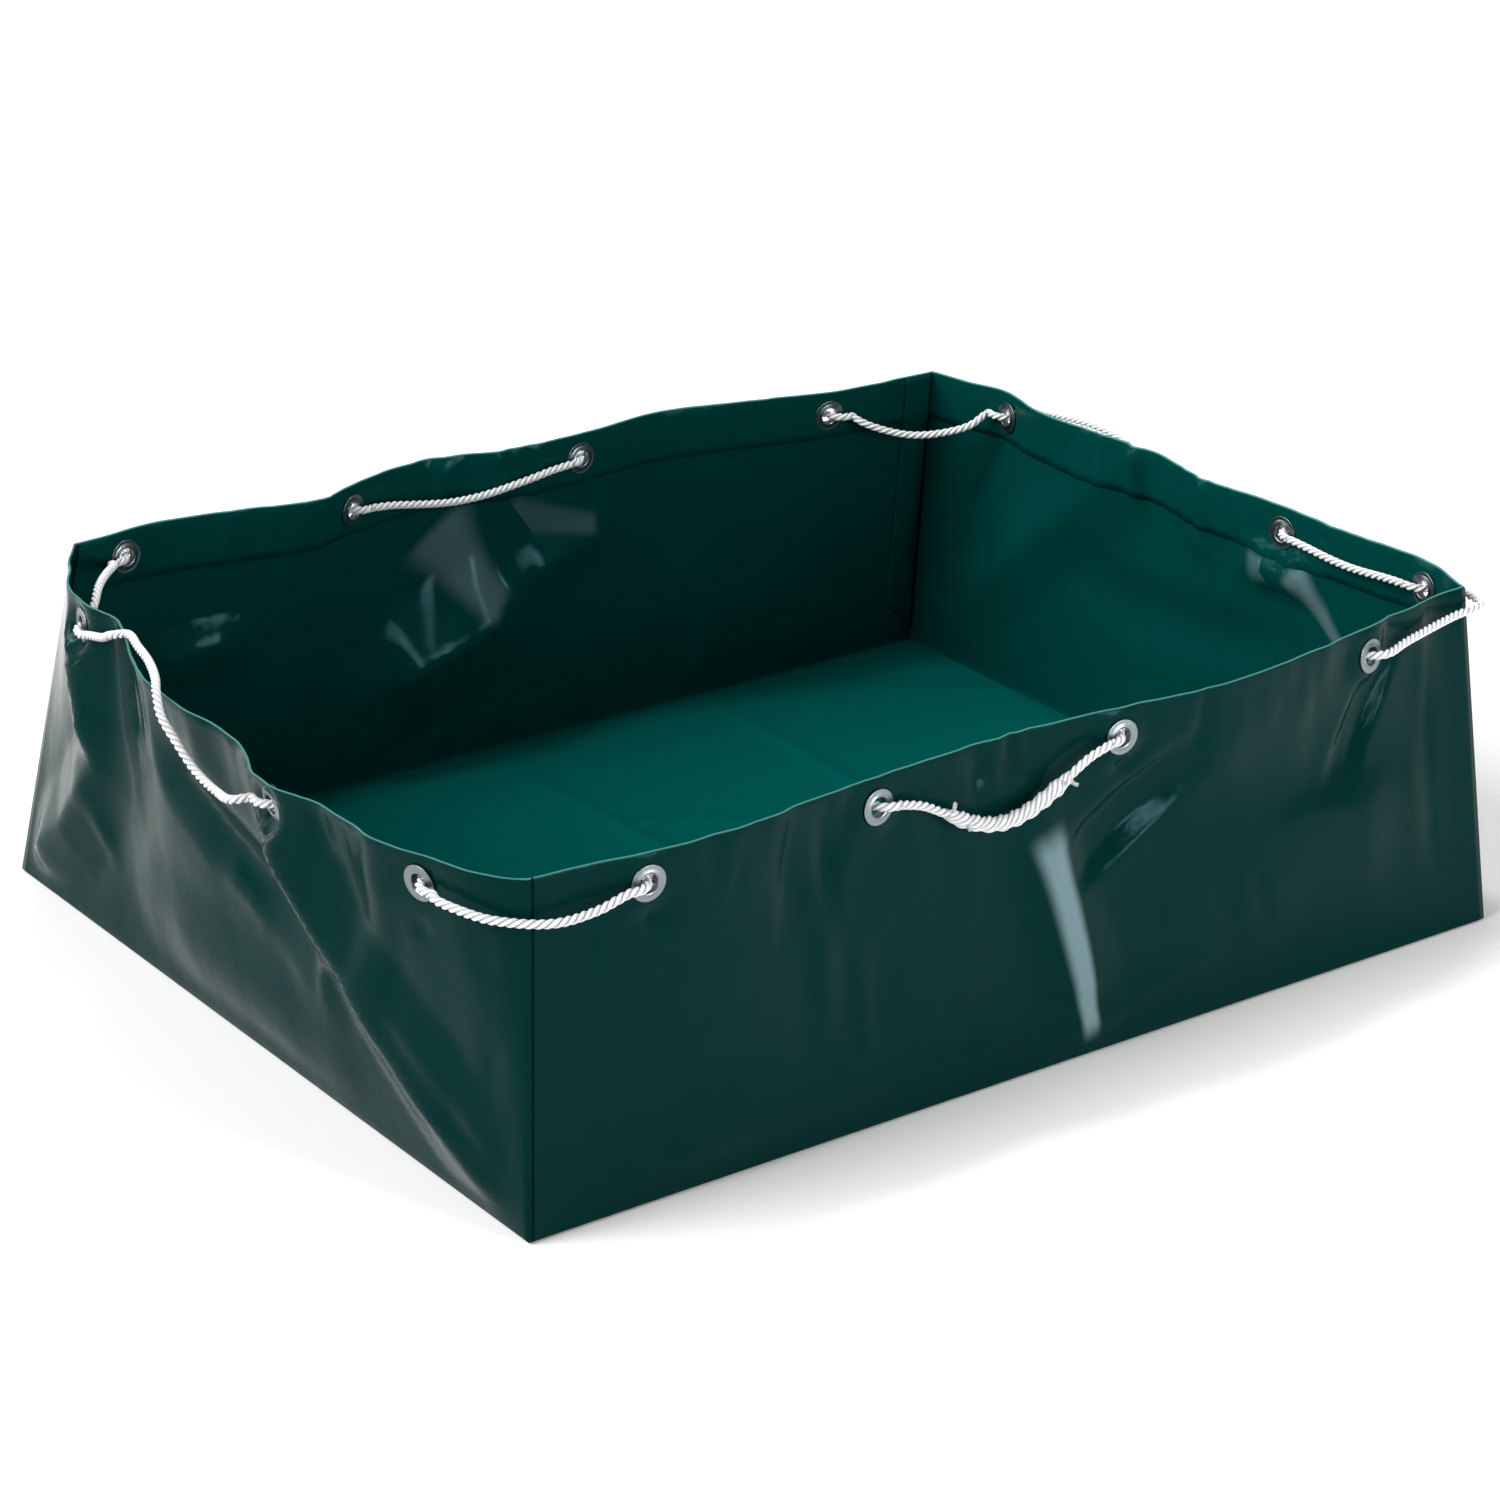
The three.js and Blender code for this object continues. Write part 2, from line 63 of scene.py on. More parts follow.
def makeCamera(s):
    az, el, roll = (math.radians(s[k]) for k in ("azimuth", "elevation", "roll"))
    back = Vector((math.sin(az) * math.cos(el), -math.cos(az) * math.cos(el), math.sin(el)))
    right = (-back).cross(Vector((0, 0, 1))).normalized()
    up = right.cross(-back)
    place = baseCentre + Vector((0, 0, s["aimHeight"]))
    place += right * s["slideRight"] + up * s["slideUp"] + back * s["distance"]
    rolledRight = right * math.cos(roll) + up * math.sin(roll)
    rolledUp = up * math.cos(roll) - right * math.sin(roll)
    data = bpy.data.cameras.new("camera")
    data.lens = s["lens"]
    data.sensor_width = 36
    camera = bpy.data.objects.new("camera", data)
    turn = Matrix((rolledRight, rolledUp, back)).transposed()
    camera.matrix_world = Matrix.Translation(place) @ turn.to_4x4()
    scene.collection.objects.link(camera)
    scene.camera = camera


makeCamera(cameraSettings)
print("camera placed")

# the tub's cloth surface

tub = dict(
    length=0.82, width=0.66, height=0.245,  # floor and cloth height
    cloth=0.8 * mm, layerGap=0.3 * mm,
    hem=0.040, rimRadius=1.1 * mm, foldRadius=2.6 * mm,
    longColumns=152, shortColumns=122, wallRows=38, rimRows=5, hemRows=6, foldRows=4)

# how far each top corner stands from its foot, in mm
corners = dict(
    frontLeft=dict(foot=(-1, -1), shift=(0, 0)),
    frontRight=dict(foot=(1, -1), shift=(0, 47)),
    backRight=dict(foot=(1, 1), shift=(-11, -30)),
    backLeft=dict(foot=(-1, 1), shift=(58, 8)))

# walls in the rope's order: lean is the rim's lean inwards in mm at a share of the length
walls = dict(
    front=dict(
        start="frontLeft", end="frontRight", inward=(0, 1), flaps=True,
        lean=[(0.04, -3), (0.1, -9), (0.19, -8), (0.31, 3), (0.46, 11), (0.57, 4),
              (0.66, -2), (0.77, 7), (0.86, 20), (0.93, 36), (0.965, 45)],
        eyelets=[0.0988, 0.322, 0.567, 0.855]),
    right=dict(
        start="frontRight", end="backRight", inward=(-1, 0), flaps=False,
        lean=[(0.09, -13), (0.2, -7), (0.33, -2), (0.45, 6), (0.57, -4), (0.67, 3),
              (0.78, 8), (0.87, -4), (0.94, 5)],
        eyelets=[0.0865, 0.321, 0.8564]),
    back=dict(
        start="backRight", end="backLeft", inward=(0, -1), flaps=True,
        lean=[(0.04, 30), (0.1, 30), (0.143, 27), (0.24, 10), (0.33, -4), (0.42, 4),
              (0.53, 2), (0.6, -14), (0.68, -2), (0.75, 16), (0.83, 0), (0.91, -13), (0.96, -9)],
        eyelets=[0.136, 0.4307, 0.7003, 0.9395]),
    left=dict(
        start="backLeft", end="frontLeft", inward=(1, 0), flaps=False,
        lean=[(0.055, 36), (0.12, 14), (0.19, 1), (0.25, 1), (0.33, -19), (0.4, -34),
              (0.46, -37), (0.54, -32), (0.6, -34), (0.67, -46), (0.76, -40), (0.85, -38),
              (0.91, -28), (0.95, -21), (0.985, -10)],
        eyelets=[0.1713, 0.6628, 0.8921]))

for wallName, wall in walls.items():
    start, end = corners[wall["start"]], corners[wall["end"]]
    half = Vector((tub["length"] / 2, tub["width"] / 2))
    wall["footStart"] = Vector((start["foot"][0] * half.x, start["foot"][1] * half.y))
    wall["footEnd"] = Vector((end["foot"][0] * half.x, end["foot"][1] * half.y))
    wall["span"] = (wall["footEnd"] - wall["footStart"]).length
    wall["along"] = (wall["footEnd"] - wall["footStart"]).normalized()
    wall["in"] = Vector(wall["inward"])
    shiftStart, shiftEnd = Vector(start["shift"]) * mm, Vector(end["shift"]) * mm
    wall["slide"] = (shiftStart.dot(wall["along"]), shiftEnd.dot(wall["along"]))
    wall["knots"] = ([(0, shiftStart.dot(wall["in"]))]
                     + [(share, lean * mm) for share, lean in wall["lean"]]
                     + [(1, shiftEnd.dot(wall["in"]))])


def smooth(x, low=0.0, high=1.0):
    t = min(1.0, max(0.0, (x - low) / (high - low)))
    return t * t * (3 - 2 * t)


# share along a line and distance from it, at the line's nearest point
def nearestOn(here, a, b):
    t = min(1.0, max(0.0, (here - a).dot(b - a) / (b - a).length_squared))
    return t, (here - a.lerp(b, t)).length


# the rim runs smoothly through its knots
def leanAt(wall, share):
    knots = wall["knots"]
    share = min(1.0, max(0.0, share))
    k = next(i for i in range(1, len(knots)) if knots[i][0] >= share)

    def slopeAt(i):
        before, after = knots[max(0, i - 1)], knots[min(len(knots) - 1, i + 1)]
        return (after[1] - before[1]) / (after[0] - before[0])

    (a, low), (b, high) = knots[k - 1], knots[k]
    t = (share - a) / (b - a)
    bend = t * (1 - t) ** 2 * slopeAt(k - 1) - t * t * (1 - t) * slopeAt(k)
    return low + (high - low) * smooth(t) + (b - a) * bend


# a point of the plain cloth: depth is how far in from the outer face
def clothPoint(wall, share, level, depth=0.0, dent=0.0):
    part = level / tub["height"]
    slide = (wall["slide"][0] * (1 - share) + wall["slide"][1] * share) * part
    lean = leanAt(wall, share) * part
    height = math.sqrt(max(0.0, level ** 2 - lean ** 2 - slide ** 2))
    plan = wall["footStart"].lerp(wall["footEnd"], share)
    plan = plan + wall["along"] * slide + wall["in"] * (lean + depth + dent)
    if share <= 0:
        plan = plan + wall["along"] * depth
    if share >= 1:
        plan = plan - wall["along"] * depth
    return baseCentre + Vector((plan.x, plan.y, height))


eyeletSettings = dict(
    bore=6.2 * mm, barrelWall=0.6 * mm, flange=12.5 * mm, dome=1.5 * mm,
    washer=0.8 * mm, lipRadius=8.2 * mm, drop=0.020, seat=0.016, steps=48,
    hole=8.6 * mm, holeCut=6.6 * mm, holeReach=13 * mm, calm=(13 * mm, 24 * mm))


# centre and directions of an eyelet, from the corners of its seat
def eyeletFrame(wall, share):
    reach = eyeletSettings["seat"] / wall["span"]
    low, high = tub["height"] - tub["hem"], tub["height"]
    lowLeft, highLeft = clothPoint(wall, share - reach, low), clothPoint(wall, share - reach, high)
    lowRight, highRight = clothPoint(wall, share + reach, low), clothPoint(wall, share + reach, high)
    outward = (highRight - lowLeft).cross(highLeft - lowRight).normalized()
    along = highRight - highLeft + lowRight - lowLeft
    along = (along - outward * along.dot(outward)).normalized()
    up = outward.cross(along)
    centre = (lowLeft + highLeft + lowRight + highRight) / 4
    centre = centre + up * (high - eyeletSettings["drop"] - (low + high) / 2)
    centre = centre - outward * (tub["cloth"] + tub["layerGap"] / 2)
    return dict(wall=wall, share=share, centre=centre, along=along, up=up, outward=outward)


eyelets = {}
for wallName, wall in walls.items():
    for number, share in enumerate(wall["eyelets"], 1):
        eyelets[f"{wallName}_{number}"] = eyeletFrame(wall, share)

# rope: routes first, then laid strands along them

rope = dict(
    diameter=6 * mm, lay=16.5 * mm, strandSides=8, step=1.3 * mm, pathStep=4 * mm, leastCord=6,
    strandRadius=1.58 * mm, strandOffset=1.47 * mm,
    standOff=8.2 * mm, reach=12 * mm, lead=5 * mm, swivelGap=1.4 * mm, closeUp=0.3 * mm)


def besideEyelet(eyelet, side, reach):
    return eyelet["centre"] + eyelet["along"] * reach + eyelet["outward"] * side * rope["standOff"]


# through an eyelet in an S of two arcs, from sideBefore to the other side
def threadPoints(eyelet, sideBefore, leadBefore=0.0, leadAfter=0.0):
    turn = 2 * math.atan(rope["standOff"] / rope["reach"])
    radius = rope["reach"] / math.sin(turn)
    arcs = 4
    points = []
    if leadBefore:
        points.append(besideEyelet(eyelet, sideBefore, -rope["reach"] - leadBefore))
    for k in range(2 * arcs + 1):
        bend = turn * min(k, 2 * arcs - k) / arcs
        half = 1 if k <= arcs else -1
        reach = -half * (rope["reach"] - radius * math.sin(bend))
        offset = half * sideBefore * (rope["standOff"] - radius * (1 - math.cos(bend)))
        points.append(eyelet["centre"] + eyelet["along"] * reach + eyelet["outward"] * offset)
    if leadAfter:
        points.append(besideEyelet(eyelet, -sideBefore, rope["reach"] + leadAfter))
    return points


# a span beside one wall, sagging, straight wherever the wall leaves room
def spanPoints(first, last, side, sag):
    wall = first["wall"]
    inward = Vector((wall["in"].x, wall["in"].y, 0))
    start, end = besideEyelet(first, side, rope["reach"]), besideEyelet(last, side, -rope["reach"])
    chord = end - start
    nudge = chord * (rope["swivelGap"] / chord.length)
    start, end = start + nudge, end - nudge
    reach = (rope["reach"] + rope["swivelGap"]) / wall["span"]
    stack = 2 * tub["cloth"] + tub["layerGap"]
    pieces = 10
    route = []
    for k in range(pieces + 1):
        x = k / pieces
        level = tub["height"] - eyeletSettings["drop"] - sag * math.sin(math.pi * x) ** 1.6
        share = first["share"] + reach + x * (last["share"] - first["share"] - 2 * reach)
        beside = clothPoint(wall, share, level, stack / 2 - side * rope["standOff"])
        room = side * (beside - start.lerp(end, x)).dot(inward)
        route.append(beside - inward * side * max(0.0, room))
    missStart, missEnd = start - route[0], end - route[-1]
    return [p + missStart * (1 - k / pieces) + missEnd * (k / pieces) for k, p in enumerate(route)]


# share of the wall's length, inward from the base line and rise above the rim, in mm
def wallPlace(wall, place):
    share, inwardBy, rise = place
    height = tub["height"] + rise * mm
    slide = (wall["slide"][0] * (1 - share) + wall["slide"][1] * share) * height / tub["height"]
    plan = wall["footStart"].lerp(wall["footEnd"], share) + wall["along"] * slide
    plan = plan + wall["in"] * inwardBy * mm
    return baseCentre + Vector((plan.x, plan.y, height))


def acrossCorner(first, last, rises):
    start, end = besideEyelet(first, -1, rope["reach"]), besideEyelet(last, -1, -rope["reach"])
    return [start.lerp(end, x) + Vector((0, 0, rise * mm)) for x, rise in rises]


heldRuns = dict(
    overRightRim=[(0.36, -9, -24), (0.41, -5, -32), (0.47, -2, -36), (0.53, -6, -34),
                  (0.584, -11, -26), (0.61, -10, -14), (0.635, -7, -5), (0.67, -5, -1.5),
                  (0.72, -2, -1), (0.78, 0, -5), (0.825, -4, -13)],
    overLeftRim=[(0.212, -6, -17), (0.245, -8, -11), (0.28, -13, -0.5),
                 (0.304, -9, 4.5), (0.341, -15, 5), (0.382, -22, 5), (0.424, -33, 5),
                 (0.45, -42, 2.5), (0.474, -48, -6), (0.4985, -47, -18), (0.533, -46, -31),
                 (0.579, -48, -34), (0.62, -53, -28)],
    roundFrontLeft=[(0.925, -33, -23), (0.96, -26, -25), (0.985, -17, -26)],
    roundFrontLeftAhead=[(0.012, -11, -27), (0.05, -13, -26)],
    roundFrontRight=[(0.895, 18, -19), (0.93, 25, -18), (0.97, 32, -17), (1.008, 37, -16)],
    roundFrontRightAhead=[(0.025, -13, -16), (0.045, -17, -17)],
    acrossBackRight=[(0.15, -9), (0.35, -15), (0.55, -16), (0.75, -11), (0.9, -4)],
    acrossBackLeft=[(0.15, 4), (0.45, 9), (0.72, 10), (0.9, 4)])


# a smooth curve through points, as evenly spaced points of it
def smoothRoute(points, step):
    dense = []
    ends = [points[0] * 2 - points[1]] + list(points) + [points[-1] * 2 - points[-2]]
    for k in range(1, len(ends) - 2):
        p0, p1, p2, p3 = ends[k - 1:k + 3]
        t1 = math.sqrt(max((p1 - p0).length, 1e-6))
        t2 = t1 + math.sqrt(max((p2 - p1).length, 1e-6))
        t3 = t2 + math.sqrt(max((p3 - p2).length, 1e-6))
        for j in range(24):
            t = t1 + (t2 - t1) * j / 24
            a1 = p0.lerp(p1, t / t1)
            a2 = p1.lerp(p2, (t - t1) / (t2 - t1))
            a3 = p2.lerp(p3, (t - t2) / (t3 - t2))
            b1 = a1.lerp(a2, t / t2)
            b2 = a2.lerp(a3, (t - t1) / (t3 - t1))
            dense.append(b1.lerp(b2, (t - t1) / (t2 - t1)))
    dense.append(points[-1].copy())
    travelled = [0.0]
    for a, b in zip(dense, dense[1:]):
        travelled.append(travelled[-1] + (b - a).length)
    total = travelled[-1]
    count = max(2, round(total / step))
    route, k = [], 0
    for j in range(count + 1):
        goal = total * j / count
        while k < len(dense) - 2 and travelled[k + 1] < goal:
            k += 1
        gap = travelled[k + 1] - travelled[k]
        route.append(dense[k].lerp(dense[k + 1], (goal - travelled[k]) / max(gap, 1e-9)))
    return route, total


# brings a route's ends a little closer to its neighbours
def closedUp(points):
    points = [p.copy() for p in points]
    for tip, beside in ((0, 1), (-1, -2)):
        points[tip] += (points[tip] - points[beside]).normalized() * rope["closeUp"]
    return points


# radius of laid strands at an angle about the rope's middle
def laidRadius(angle, strands, strandRadius, strandOffset):
    pitch = 2 * math.pi / strands
    off = (angle + pitch / 2) % pitch - pitch / 2
    inner = strandRadius ** 2 - (strandOffset * math.sin(off)) ** 2
    return strandOffset * math.cos(off) + math.sqrt(inner), off


# a twisted tube: one lobed ring, drawn out along the route and turned as it goes
def layRope(name, points, phase=0.0, swell=None, strands=3,
            strandRadius=None, strandOffset=None, lay=None):
    strandRadius = strandRadius or rope["strandRadius"]
    strandOffset = strandOffset or rope["strandOffset"]
    lay = lay or rope["lay"]
    sides = strands * rope["strandSides"]
    route, total = smoothRoute(points, rope["step"])
    bm = bmesh.new()
    alongLayer = bm.verts.layers.float.new("alongRope")
    acrossLayer = bm.verts.layers.float.new("acrossStrand")

    def placeRing(ring, k):
        before, after = route[max(0, k - 1)], route[min(len(route) - 1, k + 1)]
        ahead = (after - before).normalized()
        side = ahead.cross(Vector((0, 0, 1))).normalized()
        over = side.cross(ahead)
        travelled = total * k / (len(route) - 1)
        turn = 2 * math.pi * (travelled + phase) / lay
        size = swell(travelled / total) if swell else 1.0
        for j, vert in enumerate(ring):
            angle = 2 * math.pi * j / sides
            radius, off = laidRadius(angle, strands, strandRadius, strandOffset)
            out = side * math.cos(angle + turn) + over * math.sin(angle + turn)
            vert.co = route[k] + out * radius * size
            vert[alongLayer] = travelled + phase
            vert[acrossLayer] = off / (math.pi / strands)

    ring = bmesh.ops.create_circle(bm, segments=sides, radius=strandRadius)["verts"]
    placeRing(ring, 0)
    edges = list(bm.edges)
    firstEdges = edges
    for k in range(1, len(route)):
        made = bmesh.ops.extrude_edge_only(bm, edges=edges)["geom"]
        edges = [g for g in made if isinstance(g, bmesh.types.BMEdge)]
        ringVerts = [g for g in made if isinstance(g, bmesh.types.BMVert)]
        bm.verts.index_update()
        ring = sorted(ringVerts, key=lambda v: v.index)
        placeRing(ring, k)
    bmesh.ops.holes_fill(bm, edges=firstEdges + edges, sides=sides)
    bmesh.ops.recalc_face_normals(bm, faces=bm.faces)
    return finishMesh(name, bm), total


def finishMesh(name, bm):
    mesh = bpy.data.meshes.new(name)
    bm.to_mesh(mesh)
    bm.free()
    mesh.shade_smooth()
    piece = bpy.data.objects.new(name, mesh)
    scene.collection.objects.link(piece)
    return piece


# finishes

def newFinish(name, roughness, metallic=0.0, specular=0.5):
    finish = bpy.data.materials.new(name)
    finish.use_nodes = True
    shader = finish.node_tree.nodes["Principled BSDF"]
    shader.inputs["Roughness"].default_value = roughness
    shader.inputs["Metallic"].default_value = metallic
    shader.inputs["Specular IOR Level"].default_value = specular
    return finish, finish.node_tree.nodes, finish.node_tree.links, shader


def addNode(nodes, kind, **values):
    node = nodes.new(kind)
    for key, value in values.items():
        if key in node.inputs:
            node.inputs[key].default_value = value
        else:
            setattr(node, key, value)
    return node


def addMath(nodes, links, operation, first, second=None):
    node = addNode(nodes, "ShaderNodeMath", operation=operation)
    for socket, value in zip(node.inputs, (first, second)):
        if value is None:
            continue
        if isinstance(value, (int, float)):
            socket.default_value = value
        else:
            links.new(value, socket)
    return node.outputs[0]


def addBump(nodes, links, height, distance, below=None):
    bump = addNode(nodes, "ShaderNodeBump", Strength=1.0, Distance=distance)
    links.new(height, bump.inputs["Height"])
    if below is not None:
        links.new(below, bump.inputs["Normal"])
    return bump.outputs["Normal"]


# maps a value from one range to another
def addRange(nodes, links, value, source=(0, 1), target=(0, 1), kind="LINEAR"):
    node = addNode(nodes, "ShaderNodeMapRange", interpolation_type=kind)
    for socket, number in zip(node.inputs[1:5], source + target):
        socket.default_value = number
    links.new(value, node.inputs["Value"])
    return node.outputs["Result"]


# mixes two colours, each a link or a plain value
def addMix(nodes, links, factor, first, second):
    node = addNode(nodes, "ShaderNodeMix", data_type="RGBA")
    links.new(factor, node.inputs[0])
    for socket, color in ((node.inputs[6], first), (node.inputs[7], second)):
        if isinstance(color, tuple):
            socket.default_value = color
        else:
            links.new(color, socket)
    return node.outputs[2]


def scaled(color, share):
    return tuple(c * share for c in color[:3]) + (1,)


clothLook = dict(
    outerColor=(0.0003, 0.0165, 0.015, 1), innerColorPaintedLighter=(0.0003, 0.034, 0.0305, 1),
    # floorColor: the tub floor, painted lighter than the walls of the same sheet as painted light
    floorColor=(0.0004, 0.068, 0.06, 1), paintedHighlightColor=(0.17, 0.255, 0.28, 1),
    roughness=0.075, specular=0.045, specularTint=(0.4, 0.86, 1, 1),
    weavePitch=1.25 * mm, weaveDepth=0.012 * mm, waveSize=38, waveDepth=0.5 * mm, grain=900.0,
    cornerLineOffset=3.5 * mm, cornerLineFade=(1.3 * mm, 0.52 * mm), cornerLineStrength=0.9, cornerLineDarkness=0.12,
    rimColor=(0.09, 0.3, 0.28, 1), rimOffset=0.8 * mm, rimFade=(1.7 * mm, 0.6 * mm), rimStrength=0.6)


# painted highlights: pale streaks painted into the coat's colour along hard folds, where the glossy cloth
# would catch the light; ends in mm along the wall and up it side 1 marks the outer coat, -1 the inner
# one, and a highlight tapers towards its second end
paintedHighlights = [
    dict(wall="front", ends=((405, 176), (451, 8)), half=12.5, strength=0.7, side=1),
    dict(wall="right", ends=((196, 204), (142, 154)), half=12, strength=0.34, side=-1),
    dict(wall="right", ends=((250, 193), (172, 200)), half=11, strength=0.2, side=-1),
    dict(wall="back", ends=((486, 194), (424, 116)), half=28, strength=0.28, side=-1),
    dict(wall="back", ends=((424, 192), (330, 168)), half=15, strength=0.16, side=-1)]


# a painted highlight: fades out across and along one fold line, and shows only where the cloth carries
# the highlight's number
def addPaintedHighlight(nodes, links, split, number, bend):
    start, end = (Vector(point) * mm for point in bend["ends"])
    axis, middle, reach = (end - start).normalized(), (start + end) / 2, (end - start).length / 2

    def math2(operation, first, second=None):
        return addMath(nodes, links, operation, first, second)

    def fade(value, none, full):
        return addRange(nodes, links, value, (none, full), kind="SMOOTHSTEP")

    x = math2("SUBTRACT", split.outputs["X"], middle.x)
    y = math2("SUBTRACT", split.outputs["Y"], middle.y)
    alongBend = math2("ADD", math2("MULTIPLY", x, axis.x), math2("MULTIPLY", y, axis.y))
    acrossBend = math2("SUBTRACT", math2("MULTIPLY", y, axis.x), math2("MULTIPLY", x, axis.y))
    taper = math2("ADD", math2("MULTIPLY", alongBend, 0.4 / reach), 1.0)
    width = math2("MULTIPLY", math2("ABSOLUTE", acrossBend), taper)
    half = bend["half"] * mm
    ends = fade(math2("ABSOLUTE", alongBend), reach, reach * 0.75)
    shape = math2("MULTIPLY", fade(width, half, half * 0.3), ends)
    carried = addNode(nodes, "ShaderNodeAttribute", attribute_name="paintedHighlightNumber").outputs["Fac"]
    apart = math2("ABSOLUTE", math2("SUBTRACT", carried, number))
    gate = math2("LESS_THAN", apart, 0.3)
    return math2("MULTIPLY", math2("MULTIPLY", shape, gate), bend["strength"])


# number of the painted highlight near a point of the cloth, with room to spare all round
def paintedHighlightAt(wallName, along, level):
    here = Vector((along, level))
    for number, bend in enumerate(paintedHighlights, 1):
        start, end = (Vector(point) * mm for point in bend["ends"])
        room = (bend["half"] * 1.7 + 8) * mm
        if bend["wall"] == wallName and nearestOn(here, start, end)[1] < room:
            return number
    return 0


# coated cloth: its scrim shows through the coat as a faint grid, and its gloss is slightly wavy
def makeCoatedCloth(name, color, s, onFloor=False, side=1):
    finish, nodes, links, shader = newFinish(name, s["roughness"], specular=s["specular"])
    shader.inputs["Specular Tint"].default_value = s["specularTint"]
    uv = addNode(nodes, "ShaderNodeUVMap", uv_map="clothMap").outputs["UV"]
    split = addNode(nodes, "ShaderNodeSeparateXYZ")
    links.new(uv, split.inputs[0])
    waves = []
    for axis in ("X", "Y"):
        phase = addMath(nodes, links, "MULTIPLY", split.outputs[axis], 2 * math.pi / s["weavePitch"])
        waves.append(addMath(nodes, links, "SINE", phase))
    weave = addMath(nodes, links, "MULTIPLY", waves[0], waves[1])
    broad = addNode(nodes, "ShaderNodeTexNoise", Scale=s["waveSize"], Detail=2.0, Roughness=0.45)
    links.new(uv, broad.inputs["Vector"])
    fine = addNode(nodes, "ShaderNodeTexNoise", Scale=s["grain"], Detail=2.0, Roughness=0.6)
    links.new(uv, fine.inputs["Vector"])
    glossRange = (s["roughness"] * 0.75, s["roughness"] * 1.3)
    rough = addRange(nodes, links, broad.outputs["Fac"], target=glossRange)
    links.new(rough, shader.inputs["Roughness"])
    colored = addMix(nodes, links, fine.outputs["Fac"], scaled(color, 0.9), scaled(color, 1.12))
    if not onFloor:
        # paler line along the rim's fold crest
        fromRim = addMath(nodes, links, "SUBTRACT", split.outputs["Y"], tub["height"] + s["rimOffset"])
        fromRim = addMath(nodes, links, "ABSOLUTE", fromRim)
        edge = addRange(nodes, links, fromRim, s["rimFade"], kind="SMOOTHSTEP")
        edge = addMath(nodes, links, "MULTIPLY", edge, s["rimStrength"])
        colored = addMix(nodes, links, edge, colored, s["rimColor"])
        # darker line beside each corner
        fromCornerLine = addMath(nodes, links, "SUBTRACT", split.outputs["X"], s["cornerLineOffset"])
        fromCornerLine = addMath(nodes, links, "ABSOLUTE", fromCornerLine)
        cornerLine = addRange(nodes, links, fromCornerLine, s["cornerLineFade"], kind="SMOOTHSTEP")
        cornerLine = addMath(nodes, links, "MULTIPLY", cornerLine, s["cornerLineStrength"])
        colored = addMix(nodes, links, cornerLine, colored, scaled(color, s["cornerLineDarkness"]))
        # painted highlights along hard folds, mixed into the base colour
        crease = None
        for number, bend in enumerate(paintedHighlights, 1):
            if bend["side"] == side:
                paintedHighlightMask = addPaintedHighlight(nodes, links, split, number, bend)
                crease = addMath(nodes, links, "MAXIMUM", crease, paintedHighlightMask) if crease else paintedHighlightMask
        colored = addMix(nodes, links, crease, colored, s["paintedHighlightColor"])
    links.new(colored, shader.inputs["Base Color"])
    normal = addBump(nodes, links, broad.outputs["Fac"], s["waveDepth"])
    normal = addBump(nodes, links, weave, s["weaveDepth"], below=normal)
    links.new(normal, shader.inputs["Normal"])
    return finish


ropeLook = dict(color=(0.84, 0.85, 0.86, 1), shade=(0.4, 0.42, 0.43, 1), roughness=0.62,
                yarns=7, yarnTwist=330, yarnDepth=0.16 * mm, fuzz=1.4, fuzzGrain=2600.0)


# laid white rope: yarns run along each strand, with shade painted into the colour down between the
# strands
def makeRopeFinish(s):
    finish, nodes, links, shader = newFinish("whiteRope", s["roughness"], specular=0.35)
    shader.inputs["Sheen Weight"].default_value = 0.25
    shader.inputs["Sheen Roughness"].default_value = 0.4
    across = addNode(nodes, "ShaderNodeAttribute", attribute_name="acrossStrand").outputs["Fac"]
    along = addNode(nodes, "ShaderNodeAttribute", attribute_name="alongRope").outputs["Fac"]
    slant = addMath(nodes, links, "MULTIPLY", along, 2 * math.pi * s["yarnTwist"])
    ripple = addMath(nodes, links, "MULTIPLY", across, math.pi * s["yarns"])
    yarn = addMath(nodes, links, "SINE", addMath(nodes, links, "ADD", ripple, slant))
    fuzz = addNode(nodes, "ShaderNodeTexNoise", Scale=s["fuzzGrain"], Detail=3.0)
    place = addNode(nodes, "ShaderNodeTexCoord")
    links.new(place.outputs["Object"], fuzz.inputs["Vector"])
    fuzzy = addMath(nodes, links, "MULTIPLY", fuzz.outputs["Fac"], s["fuzz"])
    height = addMath(nodes, links, "ADD", yarn, fuzzy)
    links.new(addBump(nodes, links, height, s["yarnDepth"]), shader.inputs["Normal"])
    # painted shade in the grooves between the strands
    paintedValleyShade = addMath(nodes, links, "POWER", addMath(nodes, links, "ABSOLUTE", across), 3.0)
    links.new(addMix(nodes, links, paintedValleyShade, s["color"], s["shade"]), shader.inputs["Base Color"])
    return finish


steelLook = dict(dark=(0.13, 0.155, 0.165, 1), light=(0.24, 0.27, 0.285, 1),
                 roughness=0.3, glossRange=(0.2, 0.42), grain=700.0, grainDepth=0.03 * mm)


# plated steel, faintly scratched
def makePlatedSteel(s):
    finish, nodes, links, shader = newFinish("platedSteel", s["roughness"], metallic=1.0)
    place = addNode(nodes, "ShaderNodeTexCoord")
    grain = addNode(nodes, "ShaderNodeTexNoise", Scale=s["grain"], Detail=4.0, Roughness=0.65)
    links.new(place.outputs["Object"], grain.inputs["Vector"])
    grain = grain.outputs["Fac"]
    links.new(addRange(nodes, links, grain, target=s["glossRange"]), shader.inputs["Roughness"])
    links.new(addMix(nodes, links, grain, s["dark"], s["light"]), shader.inputs["Base Color"])
    links.new(addBump(nodes, links, grain, s["grainDepth"]), shader.inputs["Normal"])
    return finish


